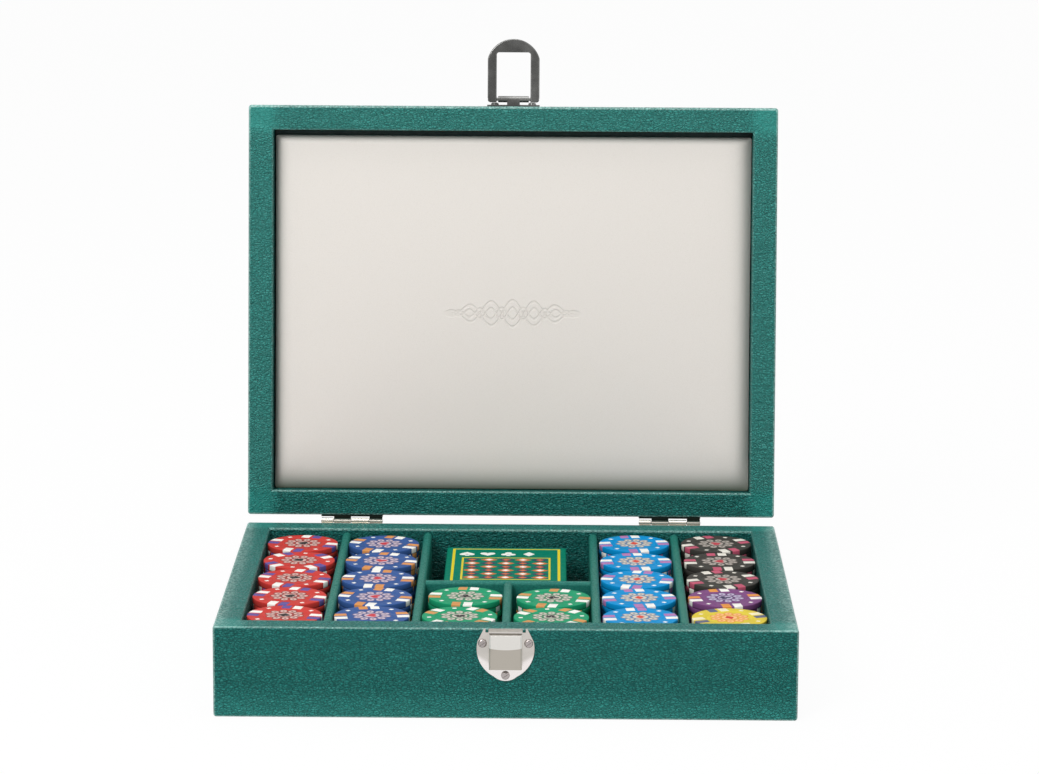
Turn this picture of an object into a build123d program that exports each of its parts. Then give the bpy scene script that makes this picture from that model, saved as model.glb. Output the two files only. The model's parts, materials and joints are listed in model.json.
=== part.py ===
from build123d import *
import math
import os

# A leather-covered games case with its lid open: a base tray with dividers, stacks of chips and
# two packs of cards, a padded lid on two surface hinges, and a hasp that drops over a sprung catch.
# All lengths are in mm. X runs to the right, Y to the back and Z up.
# The origin is the middle of the underside of the base.

# Chips and cards
chip_diameter = 39.2
chip_thickness = 3.3
chip_edge_bevel = 0.35
chips_per_stack = 12
stacks_per_column = 5
stacks_in_short_bay = 2
card_pack_width = 66.8
card_pack_length = 91.5
card_pack_thickness = 17.7
card_pack_edge_round = 0.9
card_pack_offset = -1.8

# Room left round the contents
column_bay_clearance = 2.0
short_bay_clearance = 2.9
stack_gap = 0.6
front_stack_gap = 0.4
rear_column_space = 6.2
rear_short_space = 13.6
card_pack_gap = 0.3
headroom = 2.6

# How far each stack stands from its place in a tidy row, to the right and to the back
stack_offsets = {
    "red_stack_5": (-0.5, 0.0),
    "blue_stack_1": (-0.4, 0.0),
    "blue_stack_2": (-0.5, 0.0),
    "blue_stack_3": (-0.75, 0.0),
    "blue_stack_4": (-0.65, 0.1),
    "blue_stack_5": (-0.75, 0.3),
    "green_left_stack_1": (-1.0, 0.5),
    "green_left_stack_2": (1.1, 2.6),
    "green_right_stack_2": (1.1, 0.2),
    "sky_stack_1": (0.0, 1.0),
    "sky_stack_2": (0.2, 1.6),
    "sky_stack_3": (0.0, 2.2),
    "sky_stack_4": (0.2, 2.9),
    "sky_stack_5": (0.0, 5.0),
    "yellow_stack": (0.5, 1.0),
    "purple_stack": (0.0, 2.9),
    "black_stack_1": (0.5, 3.6),
    "black_stack_2": (0.4, 4.1),
    "black_stack_3": (0.1, 5.7),
}

# Boards, leather and lining
leather_thickness = 1.0
wall_board_thickness = 12.0
floor_board_thickness = 4.0
lining_thickness = 1.0
underside_gap = 0.3
divider_thickness = 4.6
divider_top_round = 2.0
divider_drop = 2.5
edge_round = 1.6
bottom_edge_round = 1.5

# Lid
top_board_thickness = 4.0
pad_board_thickness = 5.0
cushion_crown = 10.0
cushion_edge_height = 5.5
cushion_recess = 4.0
cushion_gap = 0.8
cushion_corner_radius = 5.0
cushion_draw_in = 1.0
# How far in from the border, in mm, the cushion's crown has risen by each share of its full rise
cushion_profile = ((0.0, 0.0), (0.35, 0.9), (0.62, 3.2), (0.80, 8.0), (0.92, 18.0), (0.98, 36.0), (1.0, 64.0))
parting_gap = 0.6
lid_lean = 7.5

# Hinges
hinge_spacing = 181.0
hinge_offset = 3.3
hinge_barrel_radius = 1.75
hinge_pin_radius = 0.85
running_clearance = 0.05
hinge_knuckle_lengths = (7.0, 10.1, 10.1, 7.8)
hinge_knuckle_gap = 0.4
hinge_leaf_thickness = 0.9
hinge_leaf_height = 13.0
hinge_screw_spacing = 22.0
hinge_screw_drop = 8.0

# Countersunk screws of the hinges
flat_screw_head_radius = 2.2
flat_screw_head_height = 0.85
flat_screw_length = 9.0
flat_screw_slot_angle = 20
screw_shank_radius = 1.0
screw_slot_width = 0.6
screw_slot_depth = 0.5
pilot_hole_tip = 0.5

# Round-headed screws of the hasp and the lock plate
round_screw_head_radius = 2.25
round_screw_head_height = 1.3
round_screw_crown_round = 1.04
round_screw_slot_angle = 35
round_screw_length = 8.0

# Lock plate and its catch, measured down from the rim of the base
plate_thickness = 0.9
plate_top_drop = 0.2
plate_top_half_width = 11.2
plate_shoulder_half_width = 14.3
plate_shoulder_drop = 6.6
plate_side_half_width = 12.7
plate_side_drop = 18.7
plate_foot_half_width = 5.9
plate_foot_drop = 25.3
plate_height = 27.6
plate_side_screw_x = 11.8
plate_side_screw_drop = 7.75
plate_foot_screw_drop = 24.6
catch_width = 16.8
catch_height = 15.3
catch_proud = 5.4
catch_bevel = 0.8
catch_travel = 0.7
catch_end_clearance = 0.1
catch_lip_height = 3.4
catch_lip_tip = 0.3
catch_lip_clearance = 0.15
catch_fit = 0.05
ledge_side_margin = 0.3
ledge_notch_width = 1.6
ledge_notch_depth = 1.8
stem_width = 6.0
stem_height = 6.0
flange_margin = 3.0
flange_thickness = 1.0
pocket_margin = 0.3
pocket_depth = 3.0
spring_height = 3.4
spring_thickness = 0.3
spring_depth = 1.4

# Hasp
hasp_pivot_rise = 5.8
hasp_pivot_proud = 4.1
hasp_knuckle_radius = 1.8
hasp_pin_radius = 0.9
hasp_ring_thickness = 2.2
hasp_leg_width = 5.1
hasp_arch_depth = 7.6
hasp_arch_side_margin = 0.6
hasp_window_clearance = 1.2
hasp_window_tip_clearance = 2.9
hasp_window_corner = 1.4
hasp_shoulder_round = 4.0
hasp_knuckle_side_gap = 0.9
hasp_ring_edge_round = 0.6
hasp_pin_inset = 1.2
hasp_leaf_height = 15.0
hasp_leaf_half_width = 14.9
hasp_tongue_half_width = 3.6
hasp_leaf_top_half_width = 7.5
hasp_leaf_side_height = 8.0
hasp_leaf_screw_x = 10.6
hasp_leaf_screw_rise = 5.6
hasp_leaf_top_screw_rise = 11.6

# Cutting tools run past what they cut, and edges are picked within a small distance of a plane
overcut = 1.0
pick_margin = 0.1
snap = 0.01

# Travel of the loose contents when they are lifted out
lift_travel = 48.0

# Sizes that follow from the contents
wall = wall_board_thickness + 2 * leather_thickness
column_bay = chip_diameter + column_bay_clearance
short_bay = chip_diameter + short_bay_clearance
centre_bay = 2 * short_bay + divider_thickness
inner_width = 4 * column_bay + centre_bay + 4 * divider_thickness
column_depth = stacks_per_column * chip_diameter + (stacks_per_column - 1) * stack_gap
inner_depth = front_stack_gap + column_depth + rear_column_space
case_width = inner_width + 2 * wall
case_depth = inner_depth + 2 * wall
tray_floor = leather_thickness + floor_board_thickness + lining_thickness
stack_height = chips_per_stack * chip_thickness
base_height = tray_floor + stack_height + headroom
divider_top = base_height - divider_drop
lid_height = (
    leather_thickness + top_board_thickness + pad_board_thickness + cushion_crown + cushion_recess
)

half_width = case_width / 2
half_depth = case_depth / 2
front_face = -half_depth
rear_face = half_depth
tray_front = front_face + wall
tray_rear = rear_face - wall

# The lid is drawn shut and then turned about the hinge axis to the pose that it is shown in
lid_rim = base_height + parting_gap
lid_top = lid_rim + lid_height
hinge_y = rear_face + hinge_offset
hinge_z = base_height + parting_gap / 2
open_angle = 90 + lid_lean

# Lock and hasp heights
plate_top = base_height - plate_top_drop
ledge_underside = plate_top - plate_thickness
catch_top = ledge_underside - catch_travel - catch_end_clearance
catch_bottom = catch_top - catch_height
stem_centre = (catch_top + catch_bottom - catch_lip_height) / 2
plate_front = front_face - plate_thickness
catch_front = plate_front - catch_proud
hasp_y = front_face - hasp_pivot_proud
hasp_z = lid_rim + hasp_pivot_rise
window_half_width = catch_width / 2 + hasp_window_clearance
hasp_half_width = window_half_width + hasp_leg_width
hasp_arch_radius = hasp_half_width + hasp_arch_side_margin
hasp_window_reach = hasp_z - catch_bottom + hasp_window_tip_clearance
hasp_reach = hasp_window_reach + hasp_arch_depth
hasp_leaf_foot = hasp_z - hasp_knuckle_radius


def span_box(x_span, y_span, z_span):
    """A box between two values on each axis."""
    (x0, x1), (y0, y1), (z0, z1) = x_span, y_span, z_span
    size = Box(x1 - x0, y1 - y0, z1 - z0)
    return Pos((x0 + x1) / 2, (y0 + y1) / 2, (z0 + z1) / 2) * size


def rod(axis, radius, start, end, centre):
    """A cylinder along the named axis, from start to end, with its centre line at two values."""
    length = end - start
    middle = (start + end) / 2
    if axis == "X":
        return Pos(middle, *centre) * Rot(Y=90) * Cylinder(radius, length)
    return Pos(centre[0], middle, centre[1]) * Rot(X=90) * Cylinder(radius, length)


def edges_in_plane(shape, axis, value):
    """Edges that lie in the plane at value."""
    return shape.edges().filter_by_position(axis, value - snap, value + snap)


def edges_at(shape, axis, value, reach_x, reach_y):
    """Edges that lie in the plane at value and within the given half sizes of the middle."""
    found = []
    for edge in edges_in_plane(shape, axis, value):
        box = edge.bounding_box()
        if max(abs(box.min.X), abs(box.max.X)) < reach_x and max(abs(box.min.Y), abs(box.max.Y)) < reach_y:
            found.append(edge)
    return found


def tray_ring(inset, bottom, top, rim_faces_up):
    """A four-sided wall with rounded corners and a rounded rim, drawn in by inset all round."""
    width, depth = case_width - 2 * inset, case_depth - 2 * inset
    radius = edge_round - inset
    rim = top if rim_faces_up else bottom
    shell = span_box((-width / 2, width / 2), (-depth / 2, depth / 2), (bottom, top))
    outer_edges = shell.edges().filter_by(Axis.Z) + edges_in_plane(shell, Axis.Z, rim)
    shell = fillet(outer_edges, radius)
    opening_x = inner_width / 2 + inset
    opening_y = inner_depth / 2 + inset
    shell -= span_box((-opening_x, opening_x), (-opening_y, opening_y), (bottom - overcut, top + overcut))
    inner_edges = edges_at(shell, Axis.Z, rim, opening_x + pick_margin, opening_y + pick_margin)
    return fillet(inner_edges, radius)


def four_boards(ring, bottom, top):
    """The ring cut into a front, a rear and two side boards that butt together."""
    long_x = half_width
    joint_y = inner_depth / 2 + leather_thickness
    side_x = inner_width / 2 + leather_thickness
    spans = (
        ((-long_x, long_x), (front_face, -joint_y)),
        ((-long_x, long_x), (joint_y, rear_face)),
        ((-long_x, -side_x), (-joint_y, joint_y)),
        ((side_x, long_x), (-joint_y, joint_y)),
    )
    return [ring & span_box(x_span, y_span, (bottom, top)) for x_span, y_span in spans]


def screw_points_on_hinges(height):
    """Places of the hinge screws on a rear face at one height."""
    points = []
    for hinge_x in (-hinge_spacing / 2, hinge_spacing / 2):
        for side in (-0.5, 0.5):
            points.append((hinge_x + side * hinge_screw_spacing, height))
    return points


def plate_screw_points():
    """Places of the lock plate's three screws on the front face of the base."""
    side_z = base_height - plate_side_screw_drop
    foot_z = base_height - plate_foot_screw_drop
    return [(-plate_side_screw_x, side_z), (plate_side_screw_x, side_z), (0, foot_z)]


def leaf_screw_points():
    """Places of the hasp leaf's three screws on the front face of the lid."""
    side_z = hasp_leaf_foot + hasp_leaf_screw_rise
    top_z = hasp_leaf_foot + hasp_leaf_top_screw_rise
    return [(-hasp_leaf_screw_x, side_z), (hasp_leaf_screw_x, side_z), (0, top_z)]


def pilot_holes(points, face, depth):
    """Screw holes that run inwards from the front or rear face of the case."""
    inwards = 1 if face < 0 else -1
    radius = screw_shank_radius + running_clearance
    start, end = sorted((face - inwards, face + inwards * (depth + pilot_hole_tip)))
    return [rod("Y", radius, start, end, point) for point in points]


def round_screw(point, seat):
    """A slotted round-headed screw whose head stands on a plate face that looks to the front."""
    head = Cylinder(round_screw_head_radius, round_screw_head_height)
    crown = head.edges().filter_by(GeomType.CIRCLE).sort_by(Axis.Z)[-1]
    head = fillet(crown, round_screw_crown_round)
    slot = Box(2 * round_screw_head_radius + overcut, screw_slot_width, 2 * screw_slot_depth)
    head -= Pos(0, 0, round_screw_head_height / 2) * Rot(Z=round_screw_slot_angle) * slot
    head = Pos(point[0], seat - round_screw_head_height / 2, point[1]) * Rot(X=90) * head
    return head + rod("Y", screw_shank_radius, seat, seat + round_screw_length, point)


def flat_screw(point, face):
    """A slotted countersunk screw, flush with the outside of a hinge leaf on the rear face."""
    outside = face + hinge_leaf_thickness
    head = Cone(screw_shank_radius, flat_screw_head_radius, flat_screw_head_height)
    slot = Box(2 * flat_screw_head_radius + overcut, screw_slot_width, 2 * screw_slot_depth)
    head -= Pos(0, 0, flat_screw_head_height / 2) * Rot(Z=flat_screw_slot_angle) * slot
    head = Pos(point[0], outside - flat_screw_head_height / 2, point[1]) * Rot(X=-90) * head
    shank_end = outside - flat_screw_head_height
    return head + rod("Y", screw_shank_radius, outside - flat_screw_length, shank_end, point)


def catch_pocket():
    """The space behind the lock plate where the catch's flange and spring sit."""
    half = stem_width / 2 + flange_margin + pocket_margin
    foot = stem_centre - stem_height / 2 - flange_margin / 2 - pocket_margin
    top = foot + pocket_margin + stem_height + flange_margin + spring_height + 2 * catch_end_clearance
    return half, foot, top


def make_base():
    """The base tray: boards, leather, underside panel and tray lining."""
    board_foot = leather_thickness + floor_board_thickness
    board_top = base_height - leather_thickness
    half, foot, top = catch_pocket()
    pocket = span_box((-half, half), (front_face - overcut, front_face + pocket_depth), (foot, top))
    holes = pilot_holes(plate_screw_points(), front_face, round_screw_length)
    hinge_points = screw_points_on_hinges(hinge_z - hinge_screw_drop)
    holes += pilot_holes(hinge_points, rear_face, flat_screw_length)

    board_ring = tray_ring(leather_thickness, board_foot, board_top, True)
    floor_board = span_box(
        (-half_width + leather_thickness, half_width - leather_thickness),
        (front_face + leather_thickness, rear_face - leather_thickness),
        (leather_thickness, board_foot),
    )
    floor_board = fillet(floor_board.edges().filter_by(Axis.Z), edge_round - leather_thickness)

    cover = tray_ring(0, 0, base_height, True)
    foot_edges = edges_at(cover, Axis.Z, 0, half_width + pick_margin, half_depth + pick_margin)
    hem_edges = edges_at(cover, Axis.Z, 0, inner_width / 2 + pick_margin, inner_depth / 2 + pick_margin)
    cover = fillet([edge for edge in foot_edges if edge not in hem_edges], bottom_edge_round)
    cover = cover - board_ring - floor_board - pocket
    for hole in holes:
        cover -= hole
        board_ring -= hole
    board_ring -= pocket

    panel_x = inner_width / 2 - underside_gap
    panel_y = inner_depth / 2 - underside_gap
    panel = span_box((-panel_x, panel_x), (-panel_y, panel_y), (0, leather_thickness))
    lining = span_box(
        (-inner_width / 2, inner_width / 2), (tray_front, tray_rear), (board_foot, tray_floor)
    )
    return {
        "base_wall_boards": four_boards(board_ring, board_foot, board_top),
        "base_floor_board": [floor_board],
        "base_leather_cover": [cover],
        "base_underside_panel": [panel],
        "tray_floor_lining": [lining],
    }


def divider(x_span, y_span):
    """A covered divider that stands on the tray lining, with its top edges rounded."""
    body = span_box(x_span, y_span, (tray_floor, divider_top))
    along = Axis.Y if y_span[1] - y_span[0] > x_span[1] - x_span[0] else Axis.X
    crest = edges_in_plane(body, Axis.Z, divider_top).filter_by(along)
    return fillet(crest, divider_top_round)


def bay_lines():
    """Left sides of the two dividers right of the middle, and the front of the cross divider."""
    inner_line = centre_bay / 2
    outer_line = inner_line + divider_thickness + column_bay
    short_depth = stacks_in_short_bay * chip_diameter + (stacks_in_short_bay - 1) * stack_gap
    cross_line = tray_front + front_stack_gap + short_depth + rear_short_space
    return inner_line, outer_line, cross_line


def make_dividers():
    """Four full-depth dividers, one cross divider and one short divider in the middle bay."""
    inner_line, outer_line, cross_line = bay_lines()
    depth = (tray_front, tray_rear)
    outer = (outer_line, outer_line + divider_thickness)
    inner = (inner_line, inner_line + divider_thickness)
    return {
        "divider_outer_left": [divider((-outer[1], -outer[0]), depth)],
        "divider_inner_left": [divider((-inner[1], -inner[0]), depth)],
        "divider_inner_right": [divider(inner, depth)],
        "divider_outer_right": [divider(outer, depth)],
        "divider_cross": [
            divider((-inner_line, inner_line), (cross_line, cross_line + divider_thickness))
        ],
        "divider_short": [
            divider((-divider_thickness / 2, divider_thickness / 2), (tray_front, cross_line))
        ],
    }


def chip_stack(x, y):
    """A stack of loose chips that stands on the tray lining."""
    chip = Cylinder(chip_diameter / 2, chip_thickness)
    chip = chamfer(chip.edges().filter_by(GeomType.CIRCLE), chip_edge_bevel)
    first = tray_floor + chip_thickness / 2
    return [Pos(x, y, first + level * chip_thickness) * chip for level in range(chips_per_stack)]


def make_stacks():
    """Twenty-four stacks: four full columns and two short ones in front of the cards."""
    inner_line, outer_line, cross_line = bay_lines()
    pitch = chip_diameter + stack_gap
    first_y = tray_front + front_stack_gap + chip_diameter / 2
    outer_x = outer_line + divider_thickness + column_bay / 2
    inner_x = inner_line + divider_thickness + column_bay / 2
    short_x = (divider_thickness + short_bay) / 2
    columns = (
        (-outer_x, ["red_stack_%d" % n for n in range(1, stacks_per_column + 1)]),
        (-inner_x, ["blue_stack_%d" % n for n in range(1, stacks_per_column + 1)]),
        (-short_x, ["green_left_stack_%d" % n for n in range(1, stacks_in_short_bay + 1)]),
        (short_x, ["green_right_stack_%d" % n for n in range(1, stacks_in_short_bay + 1)]),
        (inner_x, ["sky_stack_%d" % n for n in range(1, stacks_per_column + 1)]),
        (outer_x, ["yellow_stack", "purple_stack", "black_stack_1", "black_stack_2", "black_stack_3"]),
    )
    stacks = {}
    for x, names in columns:
        for row, name in enumerate(names):
            aside, back = stack_offsets.get(name, (0.0, 0.0))
            stacks[name] = chip_stack(x + aside, first_y + row * pitch + back)
    return stacks


def make_card_packs():
    """Two boxed packs of cards, one on the other, against the cross divider."""
    cross_line = bay_lines()[2]
    front = cross_line + divider_thickness + card_pack_gap
    packs = {}
    for level, name in enumerate(("card_pack_lower", "card_pack_upper")):
        foot = tray_floor + level * card_pack_thickness
        pack = span_box(
            (card_pack_offset - card_pack_width / 2, card_pack_offset + card_pack_width / 2),
            (front, front + card_pack_length),
            (foot, foot + card_pack_thickness),
        )
        packs[name] = [fillet(pack.edges(), card_pack_edge_round)]
    return packs


def cushion_outline(height, inset):
    """The cushion's outline at one height: sides that bow inwards between rounded corners."""
    x = inner_width / 2 - cushion_gap - inset
    y = inner_depth / 2 - cushion_gap - inset
    r = cushion_corner_radius
    d = r * (1 - math.sqrt(0.5))
    draw = cushion_draw_in
    path = [
        ThreePointArc((-x + r, -y), (0, -y + draw), (x - r, -y)),
        ThreePointArc((x - r, -y), (x - d, -y + d), (x, -y + r)),
        ThreePointArc((x, -y + r), (x - draw, 0), (x, y - r)),
        ThreePointArc((x, y - r), (x - d, y - d), (x - r, y)),
        ThreePointArc((x - r, y), (0, y - draw), (-x + r, y)),
        ThreePointArc((-x + r, y), (-x + d, y - d), (-x, y - r)),
        ThreePointArc((-x, y - r), (-x + draw, 0), (-x, -y + r)),
        ThreePointArc((-x, -y + r), (-x + d, -y + d), (-x + r, -y)),
    ]
    return Pos(0, 0, height) * make_face(path)


def make_cushion(back):
    """A crowned pad that hangs from its board, steep at the border and nearly flat in the middle."""
    rise = cushion_crown - cushion_edge_height
    sections = [cushion_outline(back, 0)]
    for share, inset in cushion_profile:
        sections.append(cushion_outline(back - cushion_edge_height - share * rise, inset))
    return loft(sections, ruled=True)


def make_lid():
    """The lid drawn shut: boards, leather, pad board and cushion."""
    board_rim = lid_rim + leather_thickness
    ceiling = lid_top - leather_thickness - top_board_thickness
    holes = pilot_holes(leaf_screw_points(), front_face, round_screw_length)
    hinge_points = screw_points_on_hinges(hinge_z + hinge_screw_drop)
    holes += pilot_holes(hinge_points, rear_face, flat_screw_length)

    board_ring = tray_ring(leather_thickness, board_rim, ceiling, False)
    top_board = span_box(
        (-half_width + leather_thickness, half_width - leather_thickness),
        (front_face + leather_thickness, rear_face - leather_thickness),
        (ceiling, lid_top - leather_thickness),
    )
    top_edges = top_board.edges().filter_by(Axis.Z)
    top_edges += edges_in_plane(top_board, Axis.Z, lid_top - leather_thickness)
    top_board = fillet(top_edges, edge_round - leather_thickness)

    crown = span_box((-half_width, half_width), (front_face, rear_face), (lid_rim, lid_top))
    crown_edges = crown.edges().filter_by(Axis.Z)
    crown_edges += edges_in_plane(crown, Axis.Z, lid_rim) + edges_in_plane(crown, Axis.Z, lid_top)
    cover = fillet(crown_edges, edge_round)
    cover -= span_box(
        (-inner_width / 2, inner_width / 2), (tray_front, tray_rear), (lid_rim - overcut, ceiling)
    )
    rim_edges = edges_at(cover, Axis.Z, lid_rim, inner_width / 2 + pick_margin, inner_depth / 2 + pick_margin)
    cover = fillet(rim_edges, edge_round)
    cover = cover - board_ring - top_board
    for hole in holes:
        cover -= hole
        board_ring -= hole

    pad_x = inner_width / 2 - underside_gap
    pad_y = inner_depth / 2 - underside_gap
    pad_back = ceiling - pad_board_thickness
    pad_board = span_box((-pad_x, pad_x), (-pad_y, pad_y), (pad_back, ceiling))
    return {
        "lid_wall_boards": four_boards(board_ring, board_rim, ceiling),
        "lid_top_board": [top_board],
        "lid_leather_cover": [cover],
        "lid_pad_board": [pad_board],
        "lid_cushion": [make_cushion(pad_back)],
    }


def hinge_leaf(centre_x, side):
    """One leaf of a hinge with its knuckles: side is -1 for the base and 1 for the lid."""
    length = sum(hinge_knuckle_lengths)
    left = centre_x - length / 2
    arm_near = hinge_z + side * (hinge_barrel_radius - hinge_leaf_thickness)
    arm_far = hinge_z + side * hinge_barrel_radius
    tip = hinge_z + side * hinge_leaf_height
    plate = span_box(
        (left, left + length), (rear_face, rear_face + hinge_leaf_thickness), sorted((arm_near, tip))
    )
    start = left
    for number, knuckle_length in enumerate(hinge_knuckle_lengths):
        on_base = number % 2 == 0
        if on_base == (side < 0):
            ends = (start + hinge_knuckle_gap / 2, start + knuckle_length - hinge_knuckle_gap / 2)
            plate += span_box(ends, (rear_face, hinge_y), sorted((arm_near, arm_far)))
            plate += rod("X", hinge_barrel_radius, *ends, (hinge_y, hinge_z))
        start += knuckle_length
    bore = hinge_pin_radius + running_clearance
    plate -= rod("X", bore, left - overcut, left + length + overcut, (hinge_y, hinge_z))
    outside = rear_face + hinge_leaf_thickness
    clear = running_clearance
    sink_height = flat_screw_head_height
    for point_side in (-0.5, 0.5):
        x = centre_x + point_side * hinge_screw_spacing
        z = hinge_z + side * hinge_screw_drop
        sink = Cone(screw_shank_radius + clear, flat_screw_head_radius + clear, sink_height)
        plate -= Pos(x, outside - sink_height / 2, z) * Rot(X=-90) * sink
        plate -= rod("Y", screw_shank_radius + clear, rear_face - overcut, outside, (x, z))
    return plate


def make_hinges():
    """Two surface hinges on the rear faces, with their pins and screws."""
    length = sum(hinge_knuckle_lengths)
    fixed, moving = {}, {}
    for name, centre_x in (("left", -hinge_spacing / 2), ("right", hinge_spacing / 2)):
        fixed["hinge_%s_base_leaf" % name] = [hinge_leaf(centre_x, -1)]
        moving["hinge_%s_lid_leaf" % name] = [hinge_leaf(centre_x, 1)]
        pin = rod("X", hinge_pin_radius, centre_x - length / 2, centre_x + length / 2, (hinge_y, hinge_z))
        fixed["hinge_%s_pin" % name] = [pin]
    base_points = screw_points_on_hinges(hinge_z - hinge_screw_drop)
    lid_points = screw_points_on_hinges(hinge_z + hinge_screw_drop)
    fixed["hinge_base_screws"] = [flat_screw(point, rear_face) for point in base_points]
    moving["hinge_lid_screws"] = [flat_screw(point, rear_face) for point in lid_points]
    return fixed, moving


def plate_outline():
    """The shield outline of the lock plate in the plane of the front face."""
    rim = base_height
    top = (plate_top_half_width, plate_top)
    shoulder = (plate_shoulder_half_width, rim - plate_shoulder_drop)
    side = (plate_side_half_width, rim - plate_side_drop)
    foot = (plate_foot_half_width, rim - plate_foot_drop)
    bottom = (0, rim - plate_height)

    def left(point):
        return (-point[0], point[1])

    path = [
        Line(left(top), top),
        Line(top, shoulder),
        ThreePointArc(shoulder, side, foot),
        ThreePointArc(foot, bottom, left(foot)),
        ThreePointArc(left(foot), left(side), left(shoulder)),
        Line(left(shoulder), left(top)),
    ]
    return make_face(path)


def extrude_forwards(face, back, thickness):
    """A face drawn in X and Z, made thickness deep towards the front from the plane at back."""
    return Pos(0, back, 0) * Rot(X=90) * extrude(face, thickness)


def make_lock():
    """The lock plate with its ledge, the sliding catch, its spring and the plate's screws."""
    clear = running_clearance
    plate = extrude_forwards(plate_outline(), front_face, plate_thickness)
    ledge_half = catch_width / 2 + ledge_side_margin
    plate += span_box((-ledge_half, ledge_half), (catch_front, front_face), (ledge_underside, plate_top))
    notch_foot = plate_top - ledge_notch_depth
    for side in (-1, 1):
        notch = sorted((side * ledge_half, side * (ledge_half + ledge_notch_width)))
        plate -= span_box(
            notch, (plate_front - overcut, front_face + overcut), (notch_foot, plate_top + overcut)
        )
    stem_half = stem_width / 2
    stem_foot = stem_centre - stem_height / 2
    stem_top = stem_foot + stem_height
    slot_top = stem_top + catch_travel + catch_end_clearance
    plate -= span_box(
        (-stem_half - clear, stem_half + clear),
        (plate_front - overcut, front_face + overcut),
        (stem_foot - clear, slot_top),
    )
    for point in plate_screw_points():
        plate -= rod("Y", screw_shank_radius + clear, plate_front - overcut, front_face + overcut, point)

    back = plate_front - catch_fit
    half = catch_width / 2
    lip_back = hasp_y - hasp_ring_thickness / 2 - catch_lip_clearance
    ramp_top = catch_bottom - catch_lip_height / 2
    lip_foot = catch_bottom - catch_lip_height
    side_view = make_face(Polyline(
        (catch_front, ramp_top), (catch_front, catch_top), (back, catch_top), (back, catch_bottom),
        (lip_back, catch_bottom), (lip_back, lip_foot), (lip_back - catch_lip_tip, lip_foot),
        (catch_front, ramp_top),
    ))
    block = Pos(-half, 0, 0) * (Plane.YZ * extrude(side_view, 2 * half))
    front_edges = edges_in_plane(block, Axis.Y, catch_front)
    block = chamfer([edge for edge in front_edges if edge.center().Z > ramp_top + snap], catch_bevel)
    flange_front = front_face + catch_fit
    block += span_box((-stem_half, stem_half), (back, flange_front), (stem_foot, stem_top))
    flange_half = stem_half + flange_margin
    flange_foot = stem_foot - flange_margin / 2
    flange_top = stem_top + flange_margin / 2
    block += span_box(
        (-flange_half, flange_half),
        (flange_front, flange_front + flange_thickness),
        (flange_foot, flange_top),
    )

    spring_foot = flange_top + catch_end_clearance
    spring_top = spring_foot + spring_height
    spring_half = flange_half - 2 * spring_thickness
    rise = spring_height - spring_thickness
    bow = make_face([
        ThreePointArc((-spring_half, spring_foot), (0, spring_foot + rise), (spring_half, spring_foot)),
        Line((spring_half, spring_foot), (spring_half, spring_foot + spring_thickness)),
        ThreePointArc(
            (spring_half, spring_foot + spring_thickness),
            (0, spring_top),
            (-spring_half, spring_foot + spring_thickness),
        ),
        Line((-spring_half, spring_foot + spring_thickness), (-spring_half, spring_foot)),
    ])
    spring = extrude_forwards(bow, front_face + catch_end_clearance + spring_depth, spring_depth)
    screws = [round_screw(point, plate_front) for point in plate_screw_points()]
    fixed = {"lock_plate": [plate], "catch_spring": [spring], "lock_plate_screws": screws}
    return fixed, {"lock_catch": [block]}


def make_hasp_leaf():
    """The leaf on the lid's front face, with the tongue and knuckle that hold the ring's pin."""
    clear = running_clearance
    foot = (hasp_leaf_half_width, hasp_leaf_foot)
    side = (hasp_leaf_half_width, hasp_leaf_foot + hasp_leaf_side_height)
    top = (hasp_leaf_top_half_width, hasp_leaf_foot + hasp_leaf_height)
    bulge = (
        (side[0] + top[0]) / 2 + (side[0] - top[0]) / 5,
        (side[1] + top[1]) / 2 + (top[1] - side[1]) / 5,
    )

    def left(point):
        return (-point[0], point[1])

    leaf = extrude_forwards(
        make_face([
            Line(left(foot), foot),
            Line(foot, side),
            ThreePointArc(side, bulge, top),
            Line(top, left(top)),
            ThreePointArc(left(top), left(bulge), left(side)),
            Line(left(side), left(foot)),
        ]),
        front_face,
        plate_thickness,
    )
    half = window_half_width - hasp_knuckle_side_gap
    tongue = hasp_tongue_half_width
    tongue_top = hasp_leaf_foot + plate_thickness
    leaf += span_box((-tongue, tongue), (hasp_y, front_face), (hasp_leaf_foot, tongue_top))
    leaf += rod("X", hasp_knuckle_radius, -half, half, (hasp_y, hasp_z))
    leaf -= rod("X", hasp_pin_radius + clear, -half - overcut, half + overcut, (hasp_y, hasp_z))
    for point in leaf_screw_points():
        leaf -= rod("Y", screw_shank_radius + clear, plate_front - overcut, front_face + overcut, point)
    return leaf


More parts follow.
